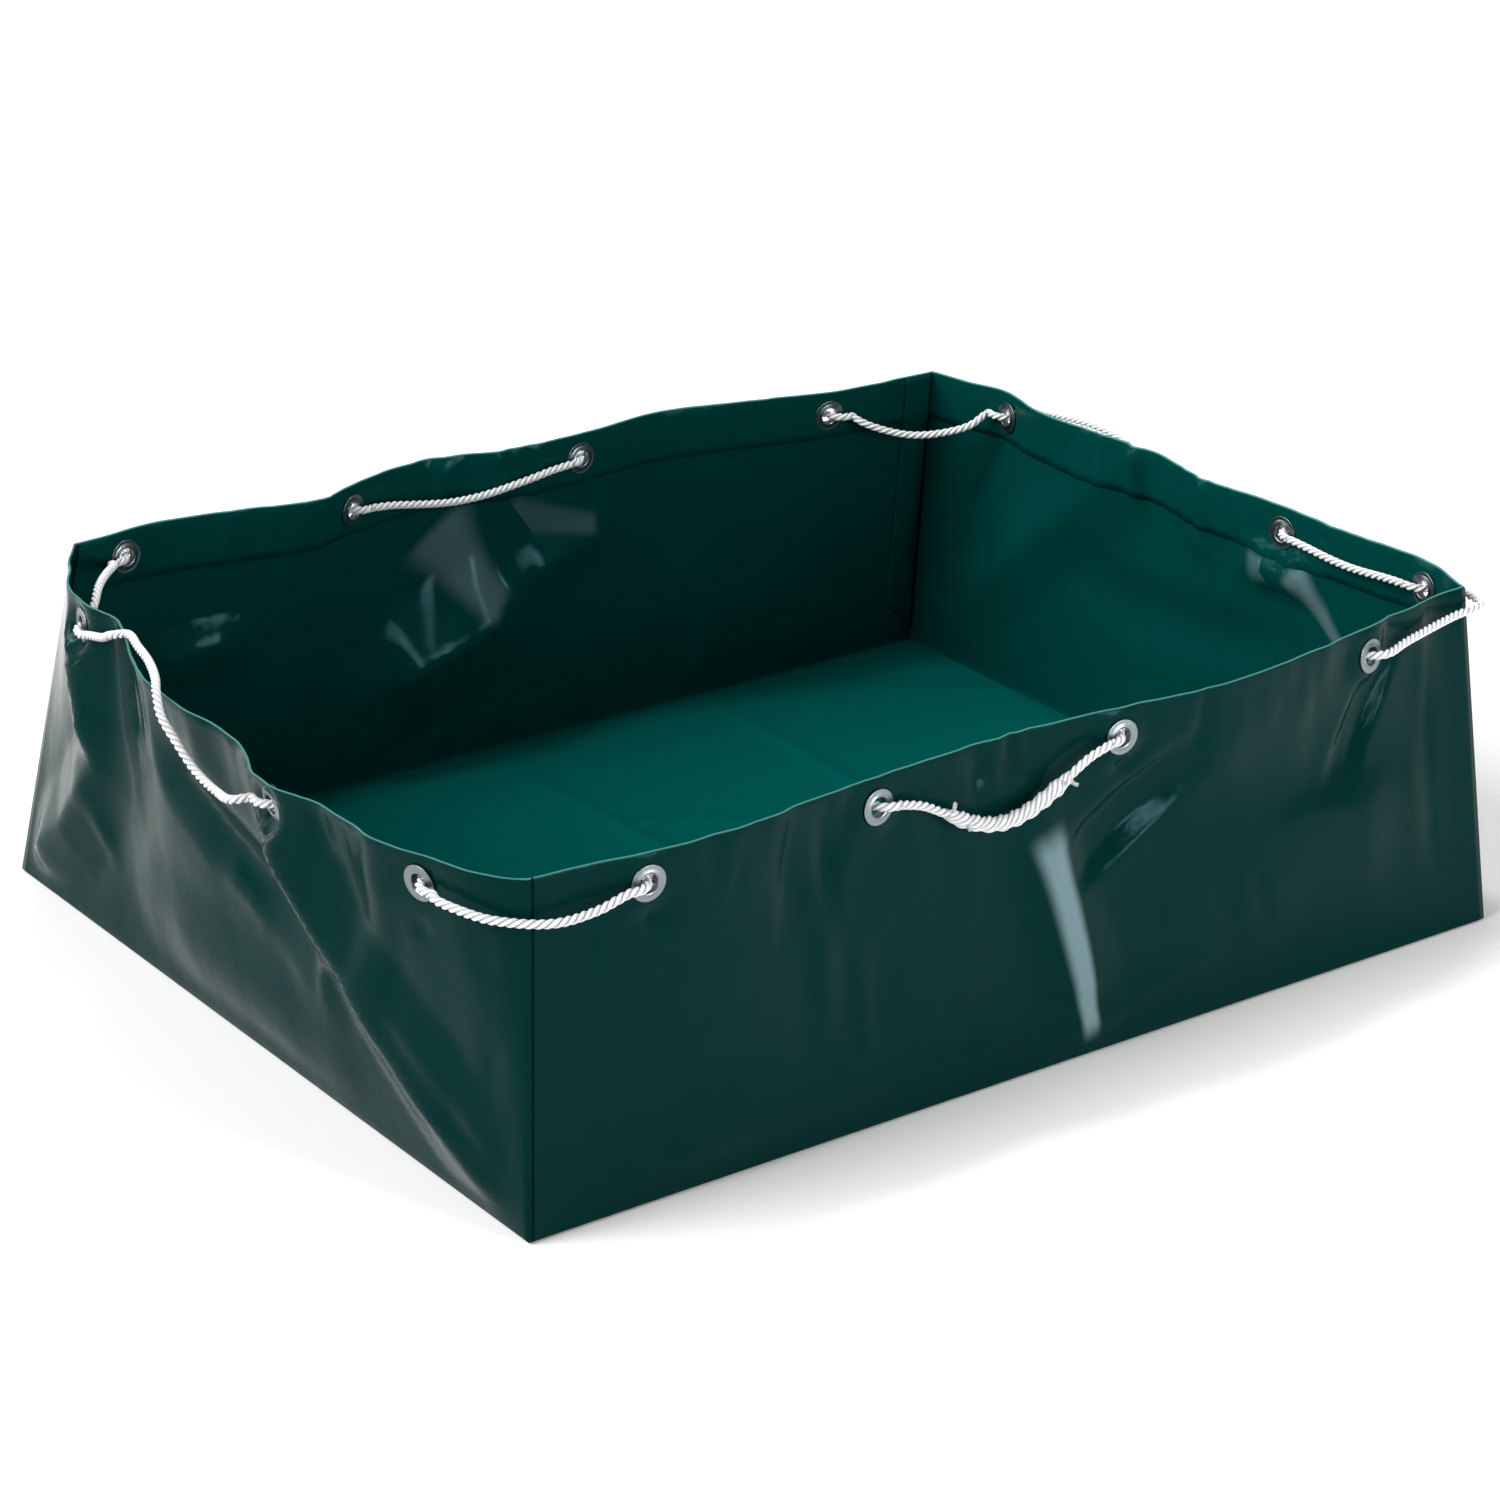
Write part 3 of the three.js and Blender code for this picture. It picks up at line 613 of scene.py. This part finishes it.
outerCloth = makeCoatedCloth("greenCoatedCloth", clothLook["outerColor"], clothLook)
# the inner coat is painted lighter than the outer coat of the same sheet: painted light
innerClothPaintedLighter = makeCoatedCloth("greenInnerCoatPaintedLighter", clothLook["innerColorPaintedLighter"], clothLook, side=-1)
# the tub floor is painted lighter still, though it is the same coat as the inner walls: painted light on
# its upward face
floorClothPaintedLighter = makeCoatedCloth("greenFloorClothPaintedLighter", clothLook["floorColor"], clothLook, onFloor=True)
whiteRope = makeRopeFinish(ropeLook)
platedSteel = makePlatedSteel(steelLook)
print("finishes made")

# lay the rope

frontSplice = dict(
    start=0.22, end=0.80, overlap=0.03, sag=33 * mm, diameter=9.5 * mm, step=1 * mm,
    lay=dict(strands=6, strandRadius=1.9 * mm, strandOffset=3.2 * mm, lay=30 * mm),
    tailLay=dict(strandRadius=0.85 * mm, strandOffset=0.6 * mm, lay=9 * mm),
    taper=0.28, lumps=9.3, lumpSize=0.11,
    tails=[(0.25, (-2, -4, 11)), (0.31, (-1, -7, -4)), (0.78, (6, -5, -4)), (0.74, (2, -6, 5))])
swings = [
    ("front_left_inside", "front_1", "front_2", -1, 12),
    ("front_right_inside", "front_3", "front_4", -1, 12),
    ("right_front_inside", "right_1", "right_2", -1, 3),
    ("back_right_outside", "back_1", "back_2", 1, 14),
    ("back_middle_inside", "back_2", "back_3", -1, 10),
    ("back_left_outside", "back_3", "back_4", 1, 14),
    ("left_front_inside", "left_2", "left_3", -1, 12)]


# a run at least a few diameters long gets a smoothed route, which is not kept
def declareCord(points, length, diameter):
    if length >= rope["leastCord"] * diameter:
        route, _ = smoothRoute(points, rope["pathStep"])


def addRope(node, body, points, diameter=rope["diameter"], **lay):
    piece, length = layRope("laid_" + node, points, **lay)
    piece.data.materials.append(whiteRope)
    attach(piece, body)
    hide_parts(node)
    declareCord(points, length, diameter)
    return length


travelled = 0.0
for name, first, last, side, sag in swings:
    points = closedUp(spanPoints(eyelets[first], eyelets[last], side, sag * mm))
    travelled += addRope("rope_" + name, "span_" + name, points, phase=travelled)
for name, sideBefore in (("front_2", -1), ("front_3", 1), ("back_2", 1), ("back_3", -1)):
    points = threadPoints(eyelets[name], sideBefore)
    travelled += addRope("rope_thread_" + name, "tub", points, phase=travelled)


def placed(wallName, runName):
    return [wallPlace(walls[wallName], place) for place in heldRuns[runName]]


lead = rope["lead"]
runs = dict(
    rope_round_front_left=(
        threadPoints(eyelets["left_3"], -1, 0, lead) + placed("left", "roundFrontLeft")
        + placed("front", "roundFrontLeftAhead") + threadPoints(eyelets["front_1"], 1, lead, 0)),
    rope_round_front_right=(
        threadPoints(eyelets["front_4"], -1, 0, lead) + placed("front", "roundFrontRight")
        + placed("right", "roundFrontRightAhead") + threadPoints(eyelets["right_1"], 1, lead, 0)),
    rope_over_right_rim=(
        threadPoints(eyelets["right_2"], -1, 0, lead) + placed("right", "overRightRim")
        + threadPoints(eyelets["right_3"], 1, lead, lead)
        + acrossCorner(eyelets["right_3"], eyelets["back_1"], heldRuns["acrossBackRight"])
        + threadPoints(eyelets["back_1"], -1, lead, 0)),
    rope_over_left_rim=(
        threadPoints(eyelets["back_4"], 1, 0, lead)
        + acrossCorner(eyelets["back_4"], eyelets["left_1"], heldRuns["acrossBackLeft"])
        + threadPoints(eyelets["left_1"], -1, lead, lead) + placed("left", "overLeftRim")
        + threadPoints(eyelets["left_2"], 1, lead, 0)))
for node, points in runs.items():
    travelled += addRope(node, "tub", points, phase=travelled)


# the front span: two plain ends and the splice between them
def laySplicedSpan(s):
    route, total = smoothRoute(
        closedUp(spanPoints(eyelets["front_2"], eyelets["front_3"], 1, s["sag"])), s["step"])
    count = len(route) - 1

    def stretch(low, high):
        first, last = round(low * count), round(high * count)
        picks = range(first, last + 1, max(1, (last - first) // 12))
        points = [route[k] for k in picks]
        return points if points[-1] == route[last] else points[:-1] + [route[last]]

    leftEnd = stretch(0, s["start"] + s["overlap"])
    rightEnd = stretch(s["end"] - s["overlap"], 1)
    addRope("rope_end_left", "span_front_splice", leftEnd)
    addRope("rope_end_right", "span_front_splice", rightEnd)
    middle = stretch(s["start"], s["end"])

    # each tuck makes a lump, and the ends taper where strands are cut away
    def swell(x):
        taper = smooth(x, 0.0, 0.1) * smooth(1 - x, 0.0, 0.1)
        lumps = s["lumpSize"] * math.sin(2 * math.pi * x * s["lumps"])
        return (1 - s["taper"] * (1 - taper)) * (1 + lumps * taper)

    addRope("rope_splice", "span_front_splice", middle, s["diameter"], swell=swell, **s["lay"])

    # cut strands left standing a little proud of the splice
    for k, (x, tip) in enumerate(s["tails"]):
        root = route[round(x * count)]
        tip = Vector(tip) * mm
        tail, _ = layRope(f"spliceTail_{k + 1}", [root + tip * 0.3, root + tip * 0.65, root + tip],
                          **s["tailLay"])
        tail.data.materials.append(whiteRope)
        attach(tail, "span_front_splice")


laySplicedSpan(frontSplice)
print("rope laid, metres:", round(travelled, 2))

# one folded sheet: floor, walls and the turned-in hem

# folds of each wall: points in mm along the wall and up it, half width, depth inwards, kind
# a sharp fold is creased along its line, a soft one is round
folds = dict(
    front=[
        ([(402, 178), (414, 130), (434, 79), (449, 24)], 34, -9, "sharp"),
        ([(449, 18), (505, 42), (560, 48)], 16, -2.2, "sharp"),
        ([(449, 18), (400, 34), (330, 38)], 20, -2.6, "soft"),
        ([(90, 34), (180, 46), (300, 42)], 42, -4.5, "soft"),
        ([(560, 70), (640, 96), (745, 92)], 62, -7, "soft"),
        ([(520, 150), (600, 168), (690, 160)], 48, 4, "soft"),
        ([(586, 96), (603, 58)], 11, 2.2, "sharp"),
        ([(57, 8), (56, 120), (55, 240)], 5, -0.9, "sharp"),
        ([(768, 8), (767, 120), (766, 236)], 5, -0.9, "sharp"),
        ([(470, 190), (492, 150)], 84, 14, "soft"),
        ([(690, 200), (720, 180)], 80, 12, "soft"),
        ([(180, 196), (240, 190)], 60, 8, "soft"),
        ([(80, 198), (90, 200)], 15, 5, "soft"),
        ([(466, 200), (480, 204)], 14, 5, "soft"),
        ([(346, 226), (352, 222)], 10, 3.5, "soft"),
        ([(213, 205), (221, 150), (228, 80)], 15, -2.4, "soft"),
        ([(252, 130), (259, 62)], 10, -1.8, "soft"),
        ([(772, 180), (768, 110), (770, 52)], 14, 2.2, "soft")],
    right=[
        ([(392, 238), (470, 170), (549, 102), (604, 36)], 46, 9, "sharp"),
        ([(454, 131), (391, 114), (297, 122), (197, 135)], 34, -6, "soft"),
        ([(246, 192), (214, 196), (180, 194)], 24, 12, "soft"),
        ([(196, 202), (172, 186), (140, 158)], 10, 4.5, "sharp"),
        ([(177, 219), (160, 196), (134, 160)], 8, 3, "sharp"),
        ([(300, 246), (291, 214)], 9, 3.5, "sharp"),
        ([(312, 192), (300, 190)], 13, 3, "soft"),
        ([(572, 206), (586, 170), (600, 130)], 12, -4, "soft"),
        ([(395, 246), (394, 226), (390, 196)], 11, 8, "sharp")],
    back=[
        ([(410, 122), (462, 98), (530, 72)], 60, 23, "sharp"),
        ([(436, 196), (430, 160), (421, 132)], 16, -4, "sharp"),
        ([(404, 138), (362, 152), (318, 166)], 30, 10, "sharp"),
        ([(734, 130), (700, 140), (664, 142)], 28, 9, "soft"),
        ([(408, 6), (412, 26), (404, 50)], 12, 4, "sharp"),
        ([(222, 4), (225, 28), (220, 54)], 17, 6, "sharp"),
        ([(540, 4), (534, 30)], 15, 4, "soft"),
        ([(463, 4), (462, 32)], 14, 4, "soft"),
        ([(330, 60), (244, 84), (130, 40)], 62, 6, "soft"),
        ([(620, 90), (640, 50), (700, 30)], 48, 5, "soft"),
        ([(73, 240), (70, 130), (66, 20)], 5, 0.9, "sharp")],
    left=[
        ([(104, 238), (118, 190), (142, 134)], 48, -16, "sharp"),
        ([(142, 134), (84, 68), (8, 14)], 44, -15, "sharp"),
        ([(430, 236), (450, 200), (484, 152), (539, 102), (584, 66), (644, 12)], 50, -19, "sharp"),
        ([(528, 118), (560, 92), (596, 66), (632, 34)], 15, 5, "soft"),
        ([(286, 228), (290, 186), (340, 160), (410, 138), (470, 108)], 34, 11, "sharp"),
        ([(336, 136), (378, 120)], 14, -3, "sharp"),
        ([(456, 126), (450, 88)], 11, -3, "sharp"),
        ([(134, 94), (146, 64)], 11, -2.5, "sharp"),
        ([(583, 194), (586, 190)], 12, 3, "soft"),
        ([(552, 238), (540, 170), (520, 96)], 24, -4, "soft"),
        ([(636, 196), (640, 176)], 16, 3, "soft"),
        ([(642, 132), (634, 104)], 16, 3.4, "soft"),
        ([(644, 66), (640, 44)], 12, 2.6, "soft"),
        ([(220, 60), (330, 52), (440, 40)], 50, -5, "soft")])

# the rope gathers the hem into short upright puckers: from, to, how many, depth
puckers = dict(
    front=[(128, 262, 9, 2.2), (330, 404, 6, 2.4), (520, 560, 3, 1.2), (600, 660, 3, 1.4)],
    right=[(120, 180, 5, 1.6), (262, 330, 5, 2.6), (420, 520, 5, 1.6)],
    back=[(392, 512, 9, 3.2), (604, 690, 7, 2.2), (150, 300, 5, 1.2)],
    left=[(210, 250, 3, 1.4), (455, 520, 4, 1.8), (598, 640, 3, 1.2)])

for wallName, runsOfPuckers in puckers.items():
    for start, end, count, depth in runsOfPuckers:
        for k in range(count):
            foot = start + (end - start) * (k + random.uniform(0.2, 0.8)) / count
            lean = random.uniform(-7, 7)
            line = [(foot + lean, 247), (foot, 247 - random.uniform(30, 62))]
            folds[wallName].append(
                (line, random.uniform(5, 10), depth * random.uniform(0.5, 1.2), "sharp"))


# each fold with the box that it reaches
def boxedFold(line, half, depth, kind):
    line = [Vector(point) for point in line]
    reach = Vector((half, half))
    low = Vector([min(p[i] for p in line) for i in range(2)]) - reach
    high = Vector([max(p[i] for p in line) for i in range(2)]) + reach
    return dict(line=line, half=half, depth=depth, sharp=kind == "sharp", low=low, high=high)


folds = {wallName: [boxedFold(*row) for row in rows] for wallName, rows in folds.items()}


def foldDepth(wallName, along, level):
    here = Vector((along / mm, level / mm))
    total = 0.0
    for fold in folds[wallName]:
        low, high, line = fold["low"], fold["high"], fold["line"]
        if not (low.x < here.x < high.x and low.y < here.y < high.y):
            continue
        nearest, place = fold["half"], 0.0
        for k, (a, b) in enumerate(zip(line, line[1:])):
            t, distance = nearestOn(here, a, b)
            if distance < nearest:
                nearest, place = distance, (k + t) / (len(line) - 1)
        near = nearest / fold["half"]
        profile = (1 - near) ** 1.15 if fold["sharp"] else (1 - near * near) ** 2
        total += fold["depth"] * profile * (0.4 + 0.6 * smooth(min(place, 1 - place), 0.0, 0.25))
    return total * mm


def eyeletMask(wall, share, level):
    mask = 1.0
    for eyelet in wall["eyelets"]:
        dx = (share - eyelet) * wall["span"]
        dy = level - (tub["height"] - eyeletSettings["drop"])
        mask *= smooth(math.hypot(dx, dy), *eyeletSettings["calm"])
    return mask


# small uneven waves, stronger in the hem where the rope gathers it
def ripple(wallName, along, level):
    seed = list(walls).index(wallName) * 7.0
    broad = noise.noise(Vector((along * 9, level * 5, seed)))
    fine = noise.noise(Vector((along * 42, level * 16, seed + 3)))
    rise = smooth(level, 0.0, 0.08)
    gathered = smooth(level, 0.17, 0.235)
    return (broad * 3.0 * rise + fine * (0.35 * rise + 1.3 * gathered)) * mm


# the sheet's line from the floor, round the bottom fold, up the wall and over the rim
def sheetLine():
    f, r, h = tub["foldRadius"], tub["rimRadius"], tub["height"]
    line = []
    for k in range(tub["foldRows"]):
        turn = k / tub["foldRows"] * math.pi / 2
        line.append((f * (1 - math.cos(turn)), f * (1 - math.sin(turn)), f * turn))
    for k in range(tub["wallRows"]):
        level = f + (h - r - f) * k / tub["wallRows"]
        line.append((level, 0.0, level))
    for k in range(tub["rimRows"]):
        turn = k / tub["rimRows"] * math.pi
        line.append((h - r + r * math.sin(turn), r * (1 - math.cos(turn)), h - r + r * turn))
    for k in range(tub["hemRows"] + 1):
        down = (tub["hem"] - r) * k / tub["hemRows"]
        line.append((h - r - down, 2 * r, h - r + math.pi * r + down))
    return line


def dentAt(wallName, wall, share, level):
    along = share * wall["span"]
    dent = foldDepth(wallName, along, level) + ripple(wallName, along, level)
    edge = smooth(min(share, 1 - share) * wall["span"], 0.0, 0.05)
    # the cloth lies quiet behind the span that swings outside the back wall
    if wallName == "back" and level > 0.15:
        behind = smooth(share, 0.1, 0.15) * (1 - smooth(share, 0.41, 0.45))
        dent = max(dent, dent * (1 - behind * smooth(level, 0.15, 0.19)))
    return dent * edge * eyeletMask(wall, share, level) * smooth(level, 0.0, 0.03)


def addWallGrid(bm, uvLayer, wallName, wall, line):
    columns = tub["longColumns"] if wallName in ("front", "back") else tub["shortColumns"]
    rows = len(line) - 1
    paintedHighlightLayer = bm.verts.layers.float.get("paintedHighlightNumber")
    made = bmesh.ops.create_grid(bm, x_segments=columns, y_segments=rows, size=0.5)["verts"]
    place = {}
    for vert in made:
        column, row = round((vert.co.x + 0.5) * columns), round((vert.co.y + 0.5) * rows)
        share = column / columns
        level, depth, run = line[row]
        dent = dentAt(wallName, wall, share, level)
        vert.co = clothPoint(wall, share, level, depth, dent)
        vert[paintedHighlightLayer] = 0 if depth else paintedHighlightAt(wallName, share * wall["span"], level)
        place[vert] = (share * wall["span"], run)
    for face in {f for v in made for f in v.link_faces}:
        if min(place[v][1] for v in face.verts) > tub["height"]:
            face.material_index = 2
        for loop in face.loops:
            loop[uvLayer].uv = place[loop.vert]


# creases left in the floor by folding the bag flat, as ends in mm, height and half width
floorCreases = [
    dict(ends=((-262, -310), (-226, 310)), rise=2.2, half=13),
    dict(ends=((-20, 300), (24, -300)), rise=2.6, half=14),
    dict(ends=((190, 305), (176, -305)), rise=2.2, half=12),
    dict(ends=((-390, 36), (390, 18)), rise=2.4, half=14),
    dict(ends=((-60, 190), (150, 60)), rise=1.6, half=10)]


def floorRise(x, y):
    here = Vector((x / mm, y / mm))
    rise = 0.6 * (1 + noise.noise(Vector((x * 8, y * 8, 40))))
    for crease in floorCreases:
        t, distance = nearestOn(here, *(Vector(end) for end in crease["ends"]))
        near = max(0.0, 1 - distance / crease["half"])
        rise += crease["rise"] * near ** 1.3 * smooth(min(t, 1 - t), 0.0, 0.15)
    inside = min(tub["length"] / 2 - abs(x), tub["width"] / 2 - abs(y))
    return rise * smooth(inside, 4 * mm, 30 * mm) * mm


def addFloorGrid(bm, uvLayer):
    made = bmesh.ops.create_grid(
        bm, x_segments=tub["longColumns"], y_segments=tub["shortColumns"], size=0.5)["verts"]
    inset = tub["foldRadius"]
    long, wide = tub["length"] / 2 - inset, tub["width"] / 2 - inset
    faces = {f for v in made for f in v.link_faces}
    for vert in made:
        # columns keep the spacing of the walls' own columns
        x = vert.co.x * tub["length"]
        y = vert.co.y * tub["width"]
        x = max(-long, min(long, x))
        y = max(-wide, min(wide, y))
        vert.co = baseCentre + Vector((x, y, floorRise(x, y)))
    for face in faces:
        face.normal_flip()
        face.material_index = 1
        for loop in face.loops:
            loop[uvLayer].uv = (loop.vert.co.x, loop.vert.co.y)


# opens the cloth under each eyelet
def openEyeletHoles(bm, s):
    for eyelet in eyelets.values():
        centre, axis = eyelet["centre"], eyelet["outward"]

        def fromAxis(point):
            offset = point - centre
            across = offset - axis * offset.dot(axis)
            return across, offset

        near = [f for f in bm.faces
                if (f.calc_center_median() - centre).length < 9 * mm
                and fromAxis(f.calc_center_median())[0].length < s["holeCut"]]
        bmesh.ops.delete(bm, geom=near, context="FACES")
        for vert in [v for v in bm.verts if v.is_boundary and (v.co - centre).length < 16 * mm]:
            across, offset = fromAxis(vert.co)
            if 0 < across.length < s["holeReach"]:
                vert.co = centre + axis * offset.dot(axis) + across.normalized() * s["hole"]


# the cloth's thickness grows inwards from its modelled face
def addThickness(piece):
    thick = piece.modifiers.new("thickness", "SOLIDIFY")
    thick.thickness = tub["cloth"]
    thick.offset = -1
    return thick


def makeTubCloth():
    bm = bmesh.new()
    uvLayer = bm.loops.layers.uv.new("clothMap")
    bm.verts.layers.float.new("paintedHighlightNumber")
    line = sheetLine()
    for wallName, wall in walls.items():
        addWallGrid(bm, uvLayer, wallName, wall, line)
    addFloorGrid(bm, uvLayer)
    bmesh.ops.remove_doubles(bm, verts=bm.verts, dist=0.05 * mm)
    openEyeletHoles(bm, eyeletSettings)
    piece = finishMesh("tubCloth", bm)
    # outer faces first, then the same cloth seen from inside the tub, its colour painted lighter there
    for cloth in (outerCloth, outerCloth, innerClothPaintedLighter, floorClothPaintedLighter):
        piece.data.materials.append(cloth)
    thick = addThickness(piece)
    thick.use_even_offset = True
    thick.material_offset = 2
    return piece


tubCloth = makeTubCloth()
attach(tubCloth, "tub")
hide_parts("floor_panel", *[w + "_wall" for w in walls], *[w + "_hem" for w in walls])
print("tub cloth folded")


# the short walls' flaps, turned round the corners and welded inside the long walls

flapSettings = dict(
    width=0.030, foot=0.012, bevel=0.028, columns=8, rows=48,
    gap=0.35 * mm, fromCorner=1.2 * mm, belowRim=1.5 * mm, overHem=8 * mm)


def makeFlap(wallName, wall, atStart, s):
    cornerName = wall["start"] if atStart else wall["end"]
    bm = bmesh.new()
    uvLayer = bm.loops.layers.uv.new("clothMap")
    made = bmesh.ops.create_grid(bm, x_segments=s["columns"], y_segments=s["rows"], size=0.5)["verts"]
    place = {}
    for vert in made:
        out, rise = vert.co.x + 0.5, vert.co.y + 0.5
        fromCorner = s["fromCorner"] + out * s["width"]
        foot = s["foot"] + out * s["bevel"]
        level = foot + (tub["height"] - s["belowRim"] - foot) * rise
        share = fromCorner / wall["span"] if atStart else 1 - fromCorner / wall["span"]
        hemLine = tub["height"] - tub["hem"]
        overHem = smooth(level, hemLine - s["overHem"], hemLine)
        depth = tub["cloth"] + s["gap"] + overHem * (2 * tub["rimRadius"] - tub["cloth"])
        vert.co = clothPoint(wall, share, level, depth, dentAt(wallName, wall, share, level))
        place[vert] = (fromCorner, level)
    for face in bm.faces:
        for loop in face.loops:
            loop[uvLayer].uv = place[loop.vert]
    # outer face towards the wall, so the thickness grows into the tub
    wanted = Vector((-wall["in"].x, -wall["in"].y, 0))
    if sum((f.normal for f in bm.faces), Vector()).dot(wanted) < 0:
        bmesh.ops.reverse_faces(bm, faces=bm.faces)
    piece = finishMesh("cornerFlap_" + cornerName, bm)
    piece.data.materials.append(innerClothPaintedLighter)
    addThickness(piece)
    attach(piece, "tub")
    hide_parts("corner_flap_" + cornerName)
    return piece


for wallName, wall in walls.items():
    if wall["flaps"]:
        makeFlap(wallName, wall, True, flapSettings)
        makeFlap(wallName, wall, False, flapSettings)

# eyelets

def spunRing(name, profile, eyelet):
    bm = bmesh.new()
    verts = [bm.verts.new((radius, 0, height)) for radius, height in profile]
    edges = [bm.edges.new(pair) for pair in zip(verts, verts[1:] + verts[:1])]
    bmesh.ops.spin(bm, geom=verts + edges, cent=(0, 0, 0), axis=(0, 0, 1), angle=2 * math.pi,
                   steps=eyeletSettings["steps"], use_merge=True)
    bmesh.ops.remove_doubles(bm, verts=bm.verts, dist=0.001 * mm)
    bmesh.ops.recalc_face_normals(bm, faces=bm.faces)
    turn = Matrix((eyelet["along"], eyelet["up"], eyelet["outward"])).transposed().to_4x4()
    if turn.determinant() < 0:
        turn = Matrix((eyelet["up"], eyelet["along"], eyelet["outward"])).transposed().to_4x4()
    bmesh.ops.transform(bm, matrix=Matrix.Translation(eyelet["centre"]) @ turn, verts=bm.verts)
    piece = finishMesh(name, bm)
    piece.data.materials.append(platedSteel)
    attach(piece, "tub")
    return piece


# a quarter or more of a circle, as points from one angle to another in degrees
def arc(cx, cy, radius, start, end, steps=6):
    points = []
    for k in range(steps + 1):
        angle = math.radians(start + (end - start) * k / steps)
        points.append((cx + radius * math.cos(angle), cy + radius * math.sin(angle)))
    return points


def makeEyelet(name, eyelet, s):
    stack = tub["cloth"] + tub["layerGap"] / 2
    seat = stack + 0.5 * mm
    top = seat + s["dome"]
    under = -(seat + s["washer"] + 0.25 * mm)
    bore, flange = s["bore"], s["flange"]
    bead = 1.3 * mm
    # outer flange: a rounded bead round the bore, a shallow slope and a rolled rim
    barrel = arc(bore + bead, top - bead, bead, 180, 60, 7)
    barrel += [(bore + 2.9 * mm, top - 0.35 * mm), (flange - 1.6 * mm, top - 0.7 * mm)]
    barrel += arc(flange - 0.75 * mm, seat + 0.55 * mm, 0.55 * mm, 70, -60, 5)
    barrel += [(flange - 1.2 * mm, seat), (bore + s["barrelWall"], seat), (bore + s["barrelWall"], under)]
    barrel += [(s["lipRadius"] - 0.2 * mm, under)]
    barrel += arc(s["lipRadius"] - 0.45 * mm, under - 0.3 * mm, 0.3 * mm, 60, -90, 4)
    barrel += arc(bore + 0.9 * mm, under - 0.6 * mm + 0.9 * mm, 0.9 * mm, 270, 180, 5)
    piece = spunRing("eyeletBarrel_" + name, barrel, eyelet)
    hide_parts("eyelet_" + name)
    hole = bore + s["barrelWall"] + 0.25 * mm
    outerFace, innerFace = -seat, -(seat + s["washer"])
    washer = [(hole, outerFace), (hole, innerFace + 0.1 * mm), (hole + 0.15 * mm, innerFace)]
    washer += [(hole + 1.9 * mm, innerFace), (hole + 2.3 * mm, innerFace + 0.25 * mm)]
    washer += [(flange - 1.5 * mm, innerFace + 0.2 * mm)]
    washer += arc(flange - 0.4 * mm, innerFace + 0.4 * mm, 0.35 * mm, 250, 380, 5)
    washer += [(flange - 0.1 * mm, outerFace)]
    ring = spunRing("eyeletWasher_" + name, washer, eyelet)
    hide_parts("washer_" + name)


for name, eyelet in eyelets.items():
    makeEyelet(name, eyelet, eyeletSettings)
print("eyelets set")

# studio

def softBox(name, place, size, radiance, aim=(0, 0, 0.1)):
    data = bpy.data.lights.new(name, "AREA")
    data.shape = "RECTANGLE"
    data.size, data.size_y = size
    data.energy = radiance * math.pi * size[0] * size[1]
    light = bpy.data.objects.new(name, data)
    light.location = place
    light.rotation_euler = (Vector(aim) - Vector(place)).to_track_quat("-Z", "Y").to_euler()
    scene.collection.objects.link(light)


def skyLight(name, towards, strength, spread):
    data = bpy.data.lights.new(name, "SUN")
    data.energy = strength
    data.angle = math.radians(spread)
    light = bpy.data.objects.new(name, data)
    light.rotation_euler = Vector(towards).to_track_quat("Z", "Y").to_euler()
    scene.collection.objects.link(light)


studio = dict(
    world=0.35, floorColor=(0.9, 0.9, 0.9, 1), floorSize=9, floorDrop=0.4 * mm,
    key=dict(towards=(-0.78, 0.2, 0.59), strength=4.3, spread=44),
    frontStrip=dict(place=(0.45, -2.7, 0.85), size=(0.2, 1.1), radiance=60),
    frontLow=dict(place=(0.95, -2.6, 0.3), size=(0.4, 0.25), radiance=45),
    backLeft=dict(place=(-1.9, 2.1, 0.75), size=(0.22, 0.8), radiance=24),
    overhead=dict(place=(0.3, 0.5, 2.6), size=(0.35, 0.35), radiance=60))


def makeStudio(s):
    bm = bmesh.new()
    bmesh.ops.create_grid(bm, x_segments=1, y_segments=1, size=s["floorSize"])
    bmesh.ops.translate(bm, verts=bm.verts, vec=(0, 0, -s["floorDrop"]))
    studioFloor = finishMesh("studioFloor", bm)
    finish, nodes, links, shader = newFinish("paleFloor", 0.9, specular=0.0)
    shader.inputs["Base Color"].default_value = s["floorColor"]
    studioFloor.data.materials.append(finish)
    world = bpy.data.worlds.new("studio")
    world.use_nodes = True
    background = world.node_tree.nodes["Background"]
    background.inputs["Color"].default_value = (1, 1, 1, 1)
    background.inputs["Strength"].default_value = s["world"]
    scene.world = world
    scene.view_settings.view_transform = "Standard"
    skyLight("key", **s["key"])
    for name in ("frontStrip", "frontLow", "backLeft", "overhead"):
        softBox(name, **s[name])


makeStudio(studio)
